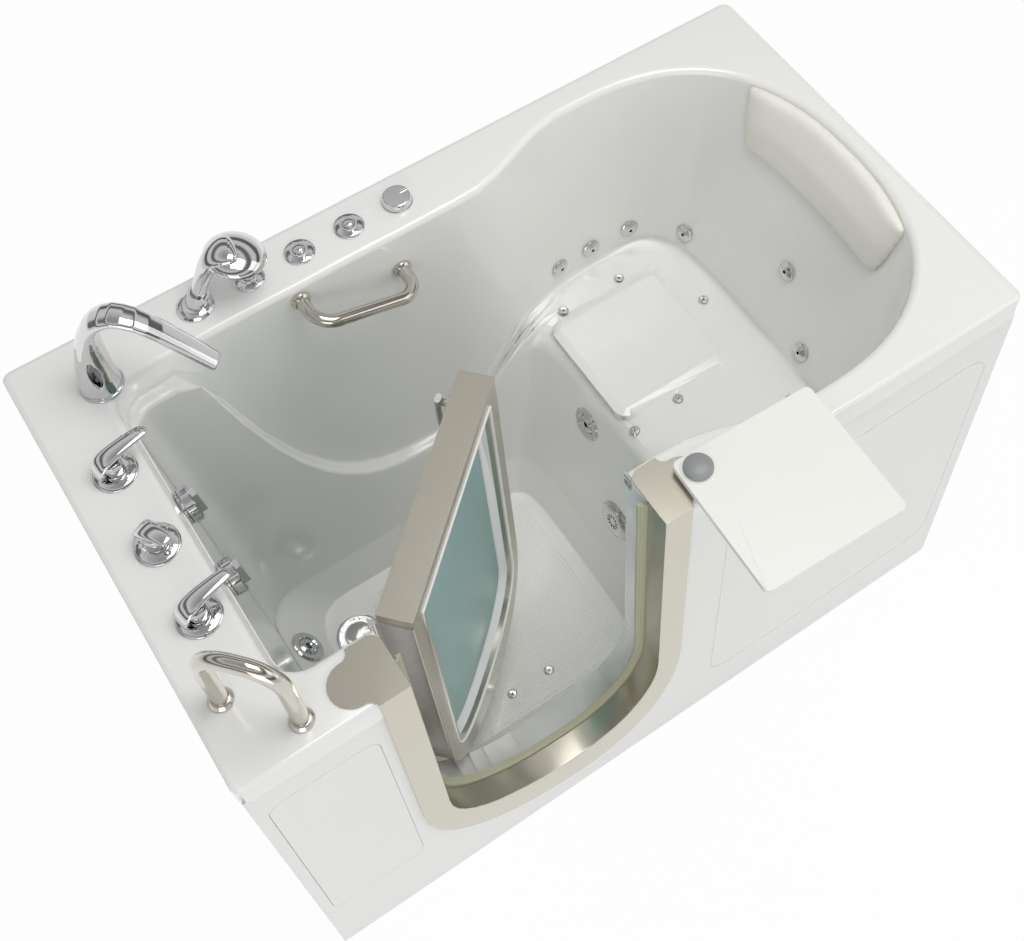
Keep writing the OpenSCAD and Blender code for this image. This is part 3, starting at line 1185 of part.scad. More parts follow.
// Pipe pushed up to ball fittings, with or without one at its first and last point
module pushed(pts, r, first, last) {
    gap = air_pipe_r + joint_t + play;
    n = len(pts) - 1;
    for (i = [0 : n - 1]) let (d = unit(pts[i + 1] - pts[i]))
        rod(pts[i] + (i > 0 || first ? gap : 0) * d, pts[i + 1] - (i < n - 1 || last ? gap : 0) * d, r);
    for (i = [1 : n - 1]) tee(pts[i], air_pipe_r);
}
module air_pipe() color("lightgray") {
    low = air_mid[2] - low_run_drop;
    tee(air_run[0], air_pipe_r);
    pushed(air_run, air_pipe_r, true, false);
    pushed([[blower_x, blower_y, foot_h + tube_s + blower_h + 40 + play], [blower_x, blower_y, low],
        [blower_x, air_mid[1], low], air_mid], air_pipe_r - 1, false, true);
}

tub_shell();
front_apron();
access_panel();
toe_strip();
base_frame();
frame_posts();
levelling_feet();
door_surround();
left_jamb_cap();
right_jamb_cap();
frame_seal();
hinge_jamb_leaf();
latch_strike();
door_frame();
door_glass();
glass_gasket();
hinge_door_leaf();
latch_handle();
latch_bolt();
tray_post();
swivel_tray();
tray_knob();
headrest();
grab_rail();
deck_handle();
spout();
shower_holder();
hand_shower();
hot_valve();
cold_valve();
hot_lever();
cold_lever();
diverter_valve();
diverter_knob();
button_bezels();
push_button_1();
push_button_2();
push_button_3();
air_dial_base();
air_dial();
waste_controls();
waste_knob_1();
waste_knob_2();
drain_bodies();
drain_stopper_1();
drain_stopper_2();
waste_pipes();
micro_jets();
hydro_jet_bodies();
foot_jet_nozzle();
seat_jet_nozzle();
side_jet_nozzle();
suction_cover();
suction_pipe();
air_injectors();
water_pump();
pressure_pipe();
air_blower();
air_pipe();
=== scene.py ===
"""Walk-in bathtub with a glazed side door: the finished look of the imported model."""
import json
import math

import bmesh
import bpy
from bpy.props import FloatProperty, FloatVectorProperty, IntProperty, PointerProperty
from mathutils import Matrix, Vector


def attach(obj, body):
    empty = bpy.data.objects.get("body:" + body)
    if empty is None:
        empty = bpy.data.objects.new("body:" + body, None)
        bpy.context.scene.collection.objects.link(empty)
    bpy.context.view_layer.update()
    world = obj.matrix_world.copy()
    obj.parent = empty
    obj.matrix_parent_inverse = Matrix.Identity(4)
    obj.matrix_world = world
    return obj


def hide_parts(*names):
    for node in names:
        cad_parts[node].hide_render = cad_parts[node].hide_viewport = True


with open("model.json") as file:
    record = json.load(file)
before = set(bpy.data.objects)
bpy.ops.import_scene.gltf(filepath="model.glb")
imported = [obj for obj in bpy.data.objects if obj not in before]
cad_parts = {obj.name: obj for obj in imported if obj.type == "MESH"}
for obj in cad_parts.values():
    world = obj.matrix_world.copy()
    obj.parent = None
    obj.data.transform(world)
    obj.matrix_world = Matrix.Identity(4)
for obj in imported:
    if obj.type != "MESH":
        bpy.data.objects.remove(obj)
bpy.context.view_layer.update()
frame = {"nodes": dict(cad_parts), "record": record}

bl_info = {
    "name": "Walk-in bathtub",
    "version": (1, 0, 0),
    "blender": (4, 5, 0),
    "location": "View3D > Sidebar > Bathtub",
    "description": "Finishes each part of a walk-in bathtub around its packed frame",
    "category": "Object",
}

MM = 0.001
RECORD = frame["record"]
SLOT_OF = {part["node"]: part["material_slot"] for part in RECORD["subparts"]}
BODY_OF = {node: body for body, nodes in RECORD["behaviour"]["bodies"].items() for node in nodes}
AXIS_OF = {joint["name"]: joint["pos_m"] for joint in RECORD["behaviour"]["joints"] if "pos_m" in joint}


def box_of(node):
    """The lowest and the highest corner of a node, in millimetres."""
    obj = frame["nodes"][node]
    points = [obj.matrix_world @ vert.co for vert in obj.data.vertices]
    return [Vector([pick(point[axis] for point in points) for axis in range(3)]) / MM
            for pick in (min, max)]


def lever_seat(node, joint):
    """Where a lever sits on its valve, in millimetres."""
    x, y, z = AXIS_OF[joint]
    return (x / MM, y / MM, box_of(node)[0].z)


# Places and outlines of the drawn pieces, in millimetres and degrees

DECK_Z = box_of("tub_shell")[1].z

# The grip dots cover this much of the footwell's floor
DOTS_LOW = (-318, -212)
DOTS_HIGH = (52, 150)
DOT_SIDES = 6
DOT_TOP_SHARE = 0.6
DOT_HEIGHT = 2.2
DOT_SUNK = 0.4
# A height inside the footwell, from which its floor is looked for
ABOVE_FLOOR_Z = 300

# The moulded crescents: a row along the front, and a ring round each air nozzle of the floor
CRESCENT_REACH = 6.5
CRESCENT_THICK = 1.9
CRESCENT_THINNEST = 0.05
CRESCENT_BEND = 0.42
CRESCENT_SIDES = 8
CRESCENT_ROW_X = -300
CRESCENT_ROW_Y = -228
CRESCENT_ROW_LENGTH = 340
CRESCENT_ROW_TURN = 12
FLOOR_NOZZLES = ((-110, -188), (-192, -188))
NOZZLE_RING_RADIUS = 21
NOZZLE_RING_REACH = 4
NOZZLE_RING_TURNS = (30, 90, 150, 210, 330)

# The glazing strips: which of their points lie against the leaf
STRIP_CLEAR = 1.0
STRIP_GAP = 1.2

PAD_VOXEL = 3.5
PAD_SMOOTHING = 60

# The spout, as stations of x, z, slope, half width and half thickness
SPOUT_FOOT_RADIUS = 31
SPOUT_BOX = box_of("spout")
SPOUT_PLACE = (SPOUT_BOX[0].x + SPOUT_FOOT_RADIUS, SPOUT_BOX[1].y - SPOUT_FOOT_RADIUS, DECK_Z)
SPOUT_TURN = -36
SPOUT_ROWS = ((0, 0.3, 90, 30, 30), (0, 8, 90, 30, 30), (0, 30, 88, 29, 28), (2.5, 50, 85, 28, 26),
              (5, 68, 82, 27, 24), (11, 105, 76, 25, 19), (15, 125, 72, 24, 16.5),
              (21, 142, 66, 23, 14), (29, 158, 55, 22.5, 12.5), (40, 172, 42, 22, 11),
              (53, 181, 24, 21.5, 10), (66, 186, 6, 21, 9), (81, 183, -14, 20.5, 8.5),
              (95, 177, -30, 20, 8), (110, 164, -40, 19.5, 8), (124, 149, -47, 19, 8),
              (154, 112, -51, 18, 8), (186, 72, -52, 17, 8))
SPOUT_FOOT = ((31, 0.2), (33.5, 0.2), (34, 1.5), (33, 3.5), (30, 5), (27, 5))
SPOUT_VOXEL = 1.3
# The leaf-shaped loop through the spout's foot
LOOP_X, LOOP_Z = 13, 62
LOOP_HALF_WIDTH, LOOP_HALF_HEIGHT = 8, 32
LOOP_POINTED = 1.5
LOOP_REACH = 60

# The hand shower: its handle's stations, its head's profile and its nozzles
HOLDER_BOX = box_of("shower_holder")
HOLDER_PLACE = ((HOLDER_BOX[0].x + HOLDER_BOX[1].x) / 2, (HOLDER_BOX[0].y + HOLDER_BOX[1].y) / 2, DECK_Z)
HANDLE_PLACE = (2, 0, 6)
HANDLE_TURN = -8
HANDLE_LEAN = 23
HANDLE_ROWS = ((0, 2.3, 90, 11.6, 11.6), (0, 6, 90, 11.6, 11.6), (0, 24, 90, 11.6, 11.6),
               (0, 42, 90, 11.6, 11.6), (0, 60, 88, 13.5, 12), (2, 82, 78, 17, 13),
               (9, 101, 60, 23, 14), (24, 115, 34, 29, 13), (42, 120, 8, 26, 9))
HEAD_PROFILE = ((1, -15.6), (37, -15.6), (39.5, -14.5), (41, -12.6), (46, -12.6), (46.8, -11),
                (46.8, -8), (44, -3), (38, 2), (31, 6), (19, 10.5), (8, 12.6), (1, 12.9))
HEAD_PLACE = (42, 0, 110)
HEAD_LEAN = -8
PIN_RINGS = ((12, 8), (22, 14), (31, 20))
PIN_PROFILE = ((1.7, 0), (1.7, -1.6), (1.0, -2.6), (0.3, -2.8))
PIN_Z = -15.2

# The levers: the part of the blade over the hub, and the shares of the reach, z, slope and halves beyond
BLADE_ROOT = ((-24, 1.2, 96, 9, 2), (-25, 12, 88, 14, 3), (-20, 26, 55, 15, 5), (-6, 35, 18, 15, 6))
BLADE_REACH = ((0.35, 38, 2, 13, 5), (0.7, 38, 0, 11, 4), (1, 37, -3, 9, 3))
HUB_PROFILE = ((9, 0), (15.6, 0), (16, 0.6), (16, 22), (15, 24), (9, 24.5))
LEVERS = (("hot_lever", "hot_turn", 10, 68), ("cold_lever", "cold_turn", 12, 66),
          ("diverter_knob", "diverter_turn", -66, 36))

# The stage, in metres and watts

FLOOR_WIDTH = 30
FLOOR_GREY = 0.86
FLOOR_ROUGH = 0.8
FLOOR_WHITE_SHARE = 0.97
ROOM_GREY = 0.60
ROOM_STRENGTH = 0.8
# What polished metal sees of the room, from below to above: a place on the ramp and a grey
ROOM_LOW = (0.95, 0.95, 0.95, 1)
ROOM_HIGH = (0.42, 0.42, 0.43, 1)
ROOM_BANDS = ((0.14, 0.9), (0.2, 0.22), (0.34, 0.14), (0.42, 0.85), (0.56, 0.85), (0.64, 0.2),
              (0.72, 0.2), (0.8, 0.9))
# Lamps: name, place, aim, width and power
LAMPS = (("over", (0.55, -0.40, 3.7), (0.0, 0.0, 0.3), 1.6, 33),
         ("side", (3.0, -1.8, 2.4), (0, 0, 0.5), 2.4, 15),
         ("front", (-2.2, -3.6, 1.6), (-0.2, -0.3, 0.4), 2.6, 34))
CAMERA_PLACE = (-0.57929, -1.10715, 2.82141)
CAMERA_RIGHT = (0.82427, -0.56616, -0.00720)
CAMERA_DOWN = (-0.48440, -0.69855, -0.52667)
CAMERA_AHEAD = (0.29315, 0.43761, -0.85004)
CAMERA_SENSOR_MM = 36
CAMERA_LENS_MM = 53.325
CAMERA_SHIFT = (-0.0948, -0.1015)
CAMERA_FAR = 60


def colour(name, text, value):
    """A colour that the user can change."""
    return FloatVectorProperty(name=name, description=text, subtype="COLOR", size=3, min=0, max=1,
                               default=value)


def length(name, text, value):
    """A length that the user can change."""
    return FloatProperty(name=name, description=text, subtype="DISTANCE", unit="LENGTH", min=0,
                         default=value)


class TubFinishes(bpy.types.PropertyGroup):
    """Colours of the tub's materials."""
    acrylic: colour("Acrylic", "Moulded shell of the tub", (0.90, 0.90, 0.875))
    apron: colour("Apron", "Front panels below the deck", (0.88, 0.88, 0.865))
    steel: colour("Steel", "Brushed steel of the door and its surround", (0.57, 0.54, 0.455))
    chrome: colour("Chrome", "Polished fittings", (0.70, 0.70, 0.71))
    nickel: colour("Nickel", "Polished warm rails", (0.62, 0.59, 0.53))
    seal: colour("Seal", "Soft seal round the opening", (0.47, 0.47, 0.33))
    glass: colour("Glass", "Frosted glass of the door", (0.36, 0.60, 0.58))
    cushion: colour("Cushion", "Skin of the head cushion", (0.92, 0.90, 0.83))
    tray: colour("Tray", "Swivel tray", (0.89, 0.90, 0.85))
    knob: colour("Knob", "Grey cap of the tray", (0.30, 0.31, 0.31))
    hinge: colour("Hinge", "Leaves and pin of the door's hinge", (0.60, 0.59, 0.57))
    gasket: colour("Gasket", "White strips round the pane", (0.85, 0.86, 0.85))
    galvanised: colour("Galvanised", "Square tubes of the base", (0.45, 0.46, 0.47))
    pipe: colour("Pipe", "Pipes below the shell", (0.55, 0.56, 0.57))
    pump: colour("Pump", "Housings of the pump and the blower", (0.03, 0.03, 0.035))
    feet: colour("Feet", "Rubber pads of the levelling feet", (0.025, 0.025, 0.025))


class TubSizes(bpy.types.PropertyGroup):
    """Sizes of the details that the frame leaves to the look."""
    edge: length("Edge", "Radius of small rounded edges", 0.0008)
    fitting_edge: length("Fitting edge", "Radius of the edges of buttons, drains and jets", 0.00048)
    hinge_edge: length("Hinge edge", "Radius of the edges of the hinge and the latch", 0.00032)
    cap_edge: length("Cap edge", "Radius of the edges of the jamb caps", 0.00096)
    surround_edge: length("Surround edge", "Radius of the edges of the steel surround", 0.0016)
    tray_edge: length("Tray edge", "Radius of the edges of the swivel tray", 0.00176)
    panel_edge: length("Panel edge", "Radius of the edges of sheet panels", 0.0018)
    leaf_edge: length("Leaf edge", "Radius of the edges of the door leaf", 0.0018)
    pad_swell: length("Cushion swell", "How far the head cushion is padded out", 0.0045)
    dot_pitch: length("Dot pitch", "Distance between the grip dots on the floor", 0.0062)
    dot: length("Dot", "Radius of one grip dot", 0.0016)
    crescents: IntProperty(name="Crescents", description="Moulded crescents along the footwell's front",
                           default=20, min=2)


def finishes():
    """The colours of this scene."""
    return bpy.context.scene.tub_finishes


def sizes():
    """The sizes of this scene."""
    return bpy.context.scene.tub_sizes


# Work on meshes


def only(obj):
    """Selects one object alone and makes it active."""
    if bpy.context.mode != "OBJECT":
        bpy.ops.object.mode_set(mode="OBJECT")
    bpy.ops.object.select_all(action="DESELECT")
    obj.select_set(True)
    bpy.context.view_layer.objects.active = obj
    return obj


def editing(obj, step, **keys):
    """Runs one edit-mode operator on the whole mesh."""
    only(obj)
    bpy.ops.object.mode_set(mode="EDIT")
    bpy.ops.mesh.select_all(action="SELECT")
    step(**keys)
    bpy.ops.object.mode_set(mode="OBJECT")


def modify(obj, kind, **values):
    """Adds a modifier with these values and applies it."""
    only(obj)
    mod = obj.modifiers.new(kind.title(), kind)
    for key, value in values.items():
        setattr(mod, key, value)
    bpy.ops.object.modifier_apply(modifier=mod.name)


def settle(obj):
    """Puts the object's place, turn and size into its mesh."""
    only(obj)
    bpy.ops.object.transform_apply(location=True, rotation=True, scale=True)


def smooth(obj, degrees=32):
    """Shades a mesh smooth but for edges sharper than this."""
    only(obj)
    bpy.ops.object.shade_smooth_by_angle(angle=math.radians(degrees))


def dress(obj, slot_name, body, *nodes):
    """Gives a piece the material of its slot and its body, and hides the nodes that it stands for."""
    obj.data.materials.clear()
    obj.data.materials.append(materials[slot_name])
    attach(obj, body)
    if nodes:
        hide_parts(*nodes)
    return obj


def merged_copy(node, name, keep_flat=0.3):
    """A copy of a node's mesh with its loose triangles joined and its flat faces made whole."""
    source = frame["nodes"][node]
    obj = source.copy()
    obj.data = source.data.copy()
    obj.name = name
    obj.data.name = name
    obj.animation_data_clear()
    for key in list(obj.keys()):
        if key.startswith("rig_"):
            del obj[key]
    obj.parent = None
    obj.matrix_world = Matrix.Identity(4)
    bpy.context.scene.collection.objects.link(obj)
    obj.hide_render = False
    obj.hide_viewport = False
    editing(obj, bpy.ops.mesh.remove_doubles, threshold=0.00001)
    if keep_flat:
        editing(obj, bpy.ops.mesh.dissolve_limited, angle_limit=math.radians(keep_flat))
    return obj


def rounded_copy(node, edge, angle=35, keep_flat=0.3):
    """A finished copy of a node with its sharp edges rounded."""
    obj = merged_copy(node, node + "_finish", keep_flat)
    if edge:
        modify(obj, "BEVEL", width=edge, segments=2, limit_method="ANGLE",
               angle_limit=math.radians(angle), use_clamp_overlap=True)
    smooth(obj)
    modify(obj, "WEIGHTED_NORMAL", keep_sharp=True, weight=90)
    return dress(obj, SLOT_OF[node], BODY_OF[node], node)


def drawn(name, rings):
    """A closed body drawn out ring by ring, each ring a list of points."""
    count = len(rings[0])
    bpy.ops.object.select_all(action="DESELECT")
    bpy.ops.mesh.primitive_circle_add(vertices=count, radius=1, fill_type="NGON")
    obj = bpy.context.object
    obj.name = name
    obj.data.name = name
    bpy.ops.object.mode_set(mode="EDIT")
    mesh = bmesh.from_edit_mesh(obj.data)
    mesh.verts.ensure_lookup_table()
    for vert, point in zip(mesh.verts, rings[0]):
        vert.co = point
    bmesh.update_edit_mesh(obj.data)
    last = [Vector(p) for p in rings[0]]
    for ring in rings[1:]:
        bpy.ops.mesh.extrude_region_move()
        mesh = bmesh.from_edit_mesh(obj.data)
        for vert in [v for v in mesh.verts if v.select]:
            near = min(range(count), key=lambda i: (vert.co - last[i]).length_squared)
            vert.co = ring[near]
        bmesh.update_edit_mesh(obj.data)
        last = [Vector(p) for p in ring]
    bpy.ops.mesh.select_all(action="SELECT")
    bpy.ops.mesh.normals_make_consistent(inside=False)
    bpy.ops.object.mode_set(mode="OBJECT")
    return obj


def power(value, exponent):
    """A power that keeps the sign of its value."""
    return math.copysign(abs(value) ** exponent, value)


def stations(rows, sides=24, square=2.3):
    """Rings for rows of x, z, slope in degrees, half width and half thickness, in millimetres."""
    rings = []
    for x, z, slope, wide, thick in rows:
        tilt = math.radians(slope)
        ring = []
        for i in range(sides):
            turn = 2 * math.pi * i / sides
            w = wide * power(math.cos(turn), 2 / square)
            t = thick * power(math.sin(turn), 2 / square)
            ring.append(Vector((x - t * math.sin(tilt), w, z + t * math.cos(tilt))) * MM)
        rings.append(ring)
    return rings


def turned_rings(profile, sides=48):
    """Rings for a profile of radius and height in millimetres."""
    return [[Vector((r * math.cos(2 * math.pi * i / sides), r * math.sin(2 * math.pi * i / sides), h))
             * MM for i in range(sides)] for r, h in profile]


def placed(obj, point, turn=0, lean=0):
    """Moves a new piece to its place, in millimetres, leaned about Y and then turned about Z."""
    obj.rotation_euler = (0, math.radians(lean), math.radians(turn))
    obj.location = Vector(point) * MM
    settle(obj)
    return obj


def joined(parts, name):
    """Joins pieces into one object."""
    only(parts[0])
    for part in parts[1:]:
        part.select_set(True)
    if len(parts) > 1:
        bpy.ops.object.join()
    parts[0].name = name
    parts[0].data.name = name
    return parts[0]


# Materials


def group(name, inputs, outputs):
    """A shader group with named sockets, built once."""
    tree = bpy.data.node_groups.new(name, "ShaderNodeTree")
    for label, kind, default in inputs:
        tree.interface.new_socket(label, in_out="INPUT", socket_type=kind).default_value = default
    for label, kind in outputs:
        tree.interface.new_socket(label, in_out="OUTPUT", socket_type=kind)
    return tree, tree.nodes.new("NodeGroupInput"), tree.nodes.new("NodeGroupOutput")


def link(tree, start, end):
    """Joins an output to an input."""
    tree.links.new(start, end)


def worked_out(tree, operation, *values, clamp=False):
    """The output of a math node that is fed by sockets and numbers."""
    node = tree.nodes.new("ShaderNodeMath")
    node.operation = operation
    node.use_clamp = clamp
    for socket, value in zip(node.inputs, values):
        if isinstance(value, bpy.types.NodeSocket):
            link(tree, value, socket)
        else:
            socket.default_value = value
    return node.outputs[0]


def mottle_group():
    """Slow change of colour and of gloss over a moulded or painted surface."""
    tree, inside, out = group("Mottle", [("Vector", "NodeSocketVector", (0, 0, 0)),
        ("Scale", "NodeSocketFloat", 4.0), ("Colour", "NodeSocketColor", (1, 1, 1, 1)),
        ("Depth", "NodeSocketFloat", 0.03), ("Rough", "NodeSocketFloat", 0.2),
        ("Rough change", "NodeSocketFloat", 0.05)],
        [("Colour", "NodeSocketColor"), ("Rough", "NodeSocketFloat")])
    noise = tree.nodes.new("ShaderNodeTexNoise")
    noise.inputs["Detail"].default_value = 4
    link(tree, inside.outputs["Vector"], noise.inputs["Vector"])
    link(tree, inside.outputs["Scale"], noise.inputs["Scale"])
    centred = worked_out(tree, "SUBTRACT", noise.outputs["Fac"], 0.5)
    dark = worked_out(tree, "MULTIPLY_ADD", centred, inside.outputs["Depth"], 1.0)
    tint = tree.nodes.new("ShaderNodeVectorMath")
    tint.operation = "SCALE"
    link(tree, inside.outputs["Colour"], tint.inputs[0])
    link(tree, dark, tint.inputs["Scale"])
    link(tree, tint.outputs[0], out.inputs["Colour"])
    rough = worked_out(tree, "MULTIPLY_ADD", centred, inside.outputs["Rough change"],
                       inside.outputs["Rough"])
    link(tree, rough, out.inputs["Rough"])
    return tree


def grain_group():
    """Fine height pattern, stretched by the vector that it is given."""
    tree, inside, out = group("Grain", [("Vector", "NodeSocketVector", (0, 0, 0)),
        ("Scale", "NodeSocketFloat", 200.0), ("Detail", "NodeSocketFloat", 3.0)],
        [("Height", "NodeSocketFloat")])
    noise = tree.nodes.new("ShaderNodeTexNoise")
    link(tree, inside.outputs["Vector"], noise.inputs["Vector"])
    link(tree, inside.outputs["Scale"], noise.inputs["Scale"])
    link(tree, inside.outputs["Detail"], noise.inputs["Detail"])
    link(tree, noise.outputs["Fac"], out.inputs["Height"])
    return tree


def wear_group():
    """Lighter, rubbed edges, from the pointiness of the mesh broken up by noise."""
    tree, inside, out = group("Edge wear", [("Vector", "NodeSocketVector", (0, 0, 0)),
        ("Colour", "NodeSocketColor", (1, 1, 1, 1)), ("Worn", "NodeSocketColor", (1, 1, 1, 1)),
        ("Amount", "NodeSocketFloat", 0.3)], [("Colour", "NodeSocketColor")])
    geometry = tree.nodes.new("ShaderNodeNewGeometry")
    edge = tree.nodes.new("ShaderNodeMapRange")
    edge.inputs["From Min"].default_value = 0.52
    edge.inputs["From Max"].default_value = 0.62
    link(tree, geometry.outputs["Pointiness"], edge.inputs["Value"])
    noise = tree.nodes.new("ShaderNodeTexNoise")
    noise.inputs["Scale"].default_value = 60
    link(tree, inside.outputs["Vector"], noise.inputs["Vector"])
    both = worked_out(tree, "MULTIPLY", edge.outputs["Result"], noise.outputs["Fac"])
    amount = worked_out(tree, "MULTIPLY", both, inside.outputs["Amount"], clamp=True)
    mix = tree.nodes.new("ShaderNodeMix")
    mix.data_type = "RGBA"
    link(tree, amount, mix.inputs["Factor"])
    link(tree, inside.outputs["Colour"], mix.inputs[6])
    link(tree, inside.outputs["Worn"], mix.inputs[7])
    link(tree, mix.outputs[2], out.inputs["Colour"])
    return tree


groups = {}
materials = {}


def placed_group(tree, name):
    """Places a shared group in a material."""
    node = tree.nodes.new("ShaderNodeGroup")
    node.node_tree = groups[name]
    return node


def surface(name, base, rough, metal=0.0, depth=0.03, rough_change=0.05, mottle=5.0, grain=300.0,
            stretch=(1, 1, 1), bump=0.02, bump_depth=0.0002, worn=None, wear=0.0, **plain):
    """A material from the shared groups, with its own values."""
    mat = bpy.data.materials.new(name)
    mat.use_nodes = True
    tree = mat.node_tree
    shader = tree.nodes["Principled BSDF"]
    shader.inputs["Metallic"].default_value = metal
    for key, value in plain.items():
        shader.inputs[key.replace("_", " ")].default_value = value
    where = tree.nodes.new("ShaderNodeTexCoord")
    mottled = placed_group(tree, "Mottle")
    link(tree, where.outputs["Object"], mottled.inputs["Vector"])
    mottled.inputs["Scale"].default_value = mottle
    mottled.inputs["Colour"].default_value = (*base, 1)
    mottled.inputs["Depth"].default_value = depth
    mottled.inputs["Rough"].default_value = rough
    mottled.inputs["Rough change"].default_value = rough_change
    edge = placed_group(tree, "Edge wear")
    edge.inputs["Worn"].default_value = (*(worn or base), 1)
    edge.inputs["Amount"].default_value = wear
    link(tree, where.outputs["Object"], edge.inputs["Vector"])
    link(tree, mottled.outputs["Colour"], edge.inputs["Colour"])
    link(tree, edge.outputs["Colour"], shader.inputs["Base Color"])
    link(tree, mottled.outputs["Rough"], shader.inputs["Roughness"])
    lay = tree.nodes.new("ShaderNodeMapping")
    lay.inputs["Scale"].default_value = stretch
    link(tree, where.outputs["Object"], lay.inputs["Vector"])
    fine = placed_group(tree, "Grain")
    fine.inputs["Scale"].default_value = grain
    link(tree, lay.outputs["Vector"], fine.inputs["Vector"])
    relief = tree.nodes.new("ShaderNodeBump")
    relief.inputs["Strength"].default_value = bump
    relief.inputs["Distance"].default_value = bump_depth
    link(tree, fine.outputs["Height"], relief.inputs["Height"])
    link(tree, relief.outputs["Normal"], shader.inputs["Normal"])
    mat.diffuse_color = (*base, 1)
    materials[name] = mat


class TUB_OT_materials(bpy.types.Operator):
    """Makes the shader groups and the materials"""
    bl_idname = "tub.materials"
    bl_label = "Materials"

    def execute(self, context):
        tint = finishes()
        groups["Mottle"] = mottle_group()
        groups["Grain"] = grain_group()
        groups["Edge wear"] = wear_group()
        surface("acrylic_white", tint.acrylic, 0.16, depth=0.02, rough_change=0.05, mottle=3, grain=55,
                bump=0.10, bump_depth=0.0006, Coat_Weight=0.5, Coat_Roughness=0.08)
        surface("apron_white", tint.apron, 0.26, depth=0.02, mottle=2.5, grain=90, bump=0.08,
                bump_depth=0.0004)
        surface("brushed_steel", tint.steel, 0.25, 1.0, depth=0.05, rough_change=0.06, mottle=2.5,
                grain=420, stretch=(0.04, 1, 1), bump=0.22, bump_depth=0.00012,
                worn=(0.70, 0.68, 0.60), wear=0.3)
        surface("steel_hinge", tint.hinge, 0.28, 1.0, depth=0.12, mottle=20, grain=400,
                stretch=(1, 1, 0.1), bump=0.15, worn=(0.8, 0.8, 0.8), wear=1.0)
        surface("chrome", tint.chrome, 0.055, 1.0, depth=0.04, rough_change=0.04, mottle=30, grain=120,
                bump=0.01)
        surface("satin_chrome", tint.nickel, 0.13, 1.0, depth=0.06, rough_change=0.08, mottle=25,
                grain=500, stretch=(0.1, 1, 1), bump=0.04)
        surface("seal_rubber", tint.seal, 0.45, depth=0.08, mottle=30, grain=700, bump=0.15)
        surface("frosted_glass", tint.glass, 0.32, depth=0.05, mottle=6, grain=900, bump=0.12,
                Transmission_Weight=0.35, IOR=1.5)
        surface("gasket_white", tint.gasket, 0.42, depth=0.04, mottle=20, grain=500, bump=0.1)
        surface("tray_white", tint.tray, 0.30, depth=0.02, mottle=8, grain=380, bump=0.12,
                bump_depth=0.0003)
        surface("knob_grey", tint.knob, 0.34, depth=0.10, mottle=40, grain=600, stretch=(1, 1, 0.2),
                bump=0.10, worn=(0.45, 0.48, 0.5), wear=0.8)
        surface("headrest_cream", tint.cushion, 0.42, depth=0.05, rough_change=0.08, mottle=9, grain=420,
                bump=0.30, bump_depth=0.0005, Sheen_Weight=0.15)
        surface("galvanised_frame", tint.galvanised, 0.48, 0.8, depth=0.25, mottle=60, grain=300,
                bump=0.2, worn=(0.7, 0.7, 0.7), wear=0.8)
        surface("pipe_grey", tint.pipe, 0.38, depth=0.05, mottle=12, grain=300, bump=0.08)
        surface("pump_black", tint.pump, 0.45, depth=0.2, mottle=25, grain=500, bump=0.3)
        surface("rubber_feet", tint.feet, 0.7, depth=0.2, mottle=40, grain=500, bump=0.3)
        for node, obj in frame["nodes"].items():
            if not obj.material_slots:
                obj.data.materials.append(materials[SLOT_OF[node]])
            for place in obj.material_slots:
                place.material = materials[SLOT_OF[node]]
        return {"FINISHED"}


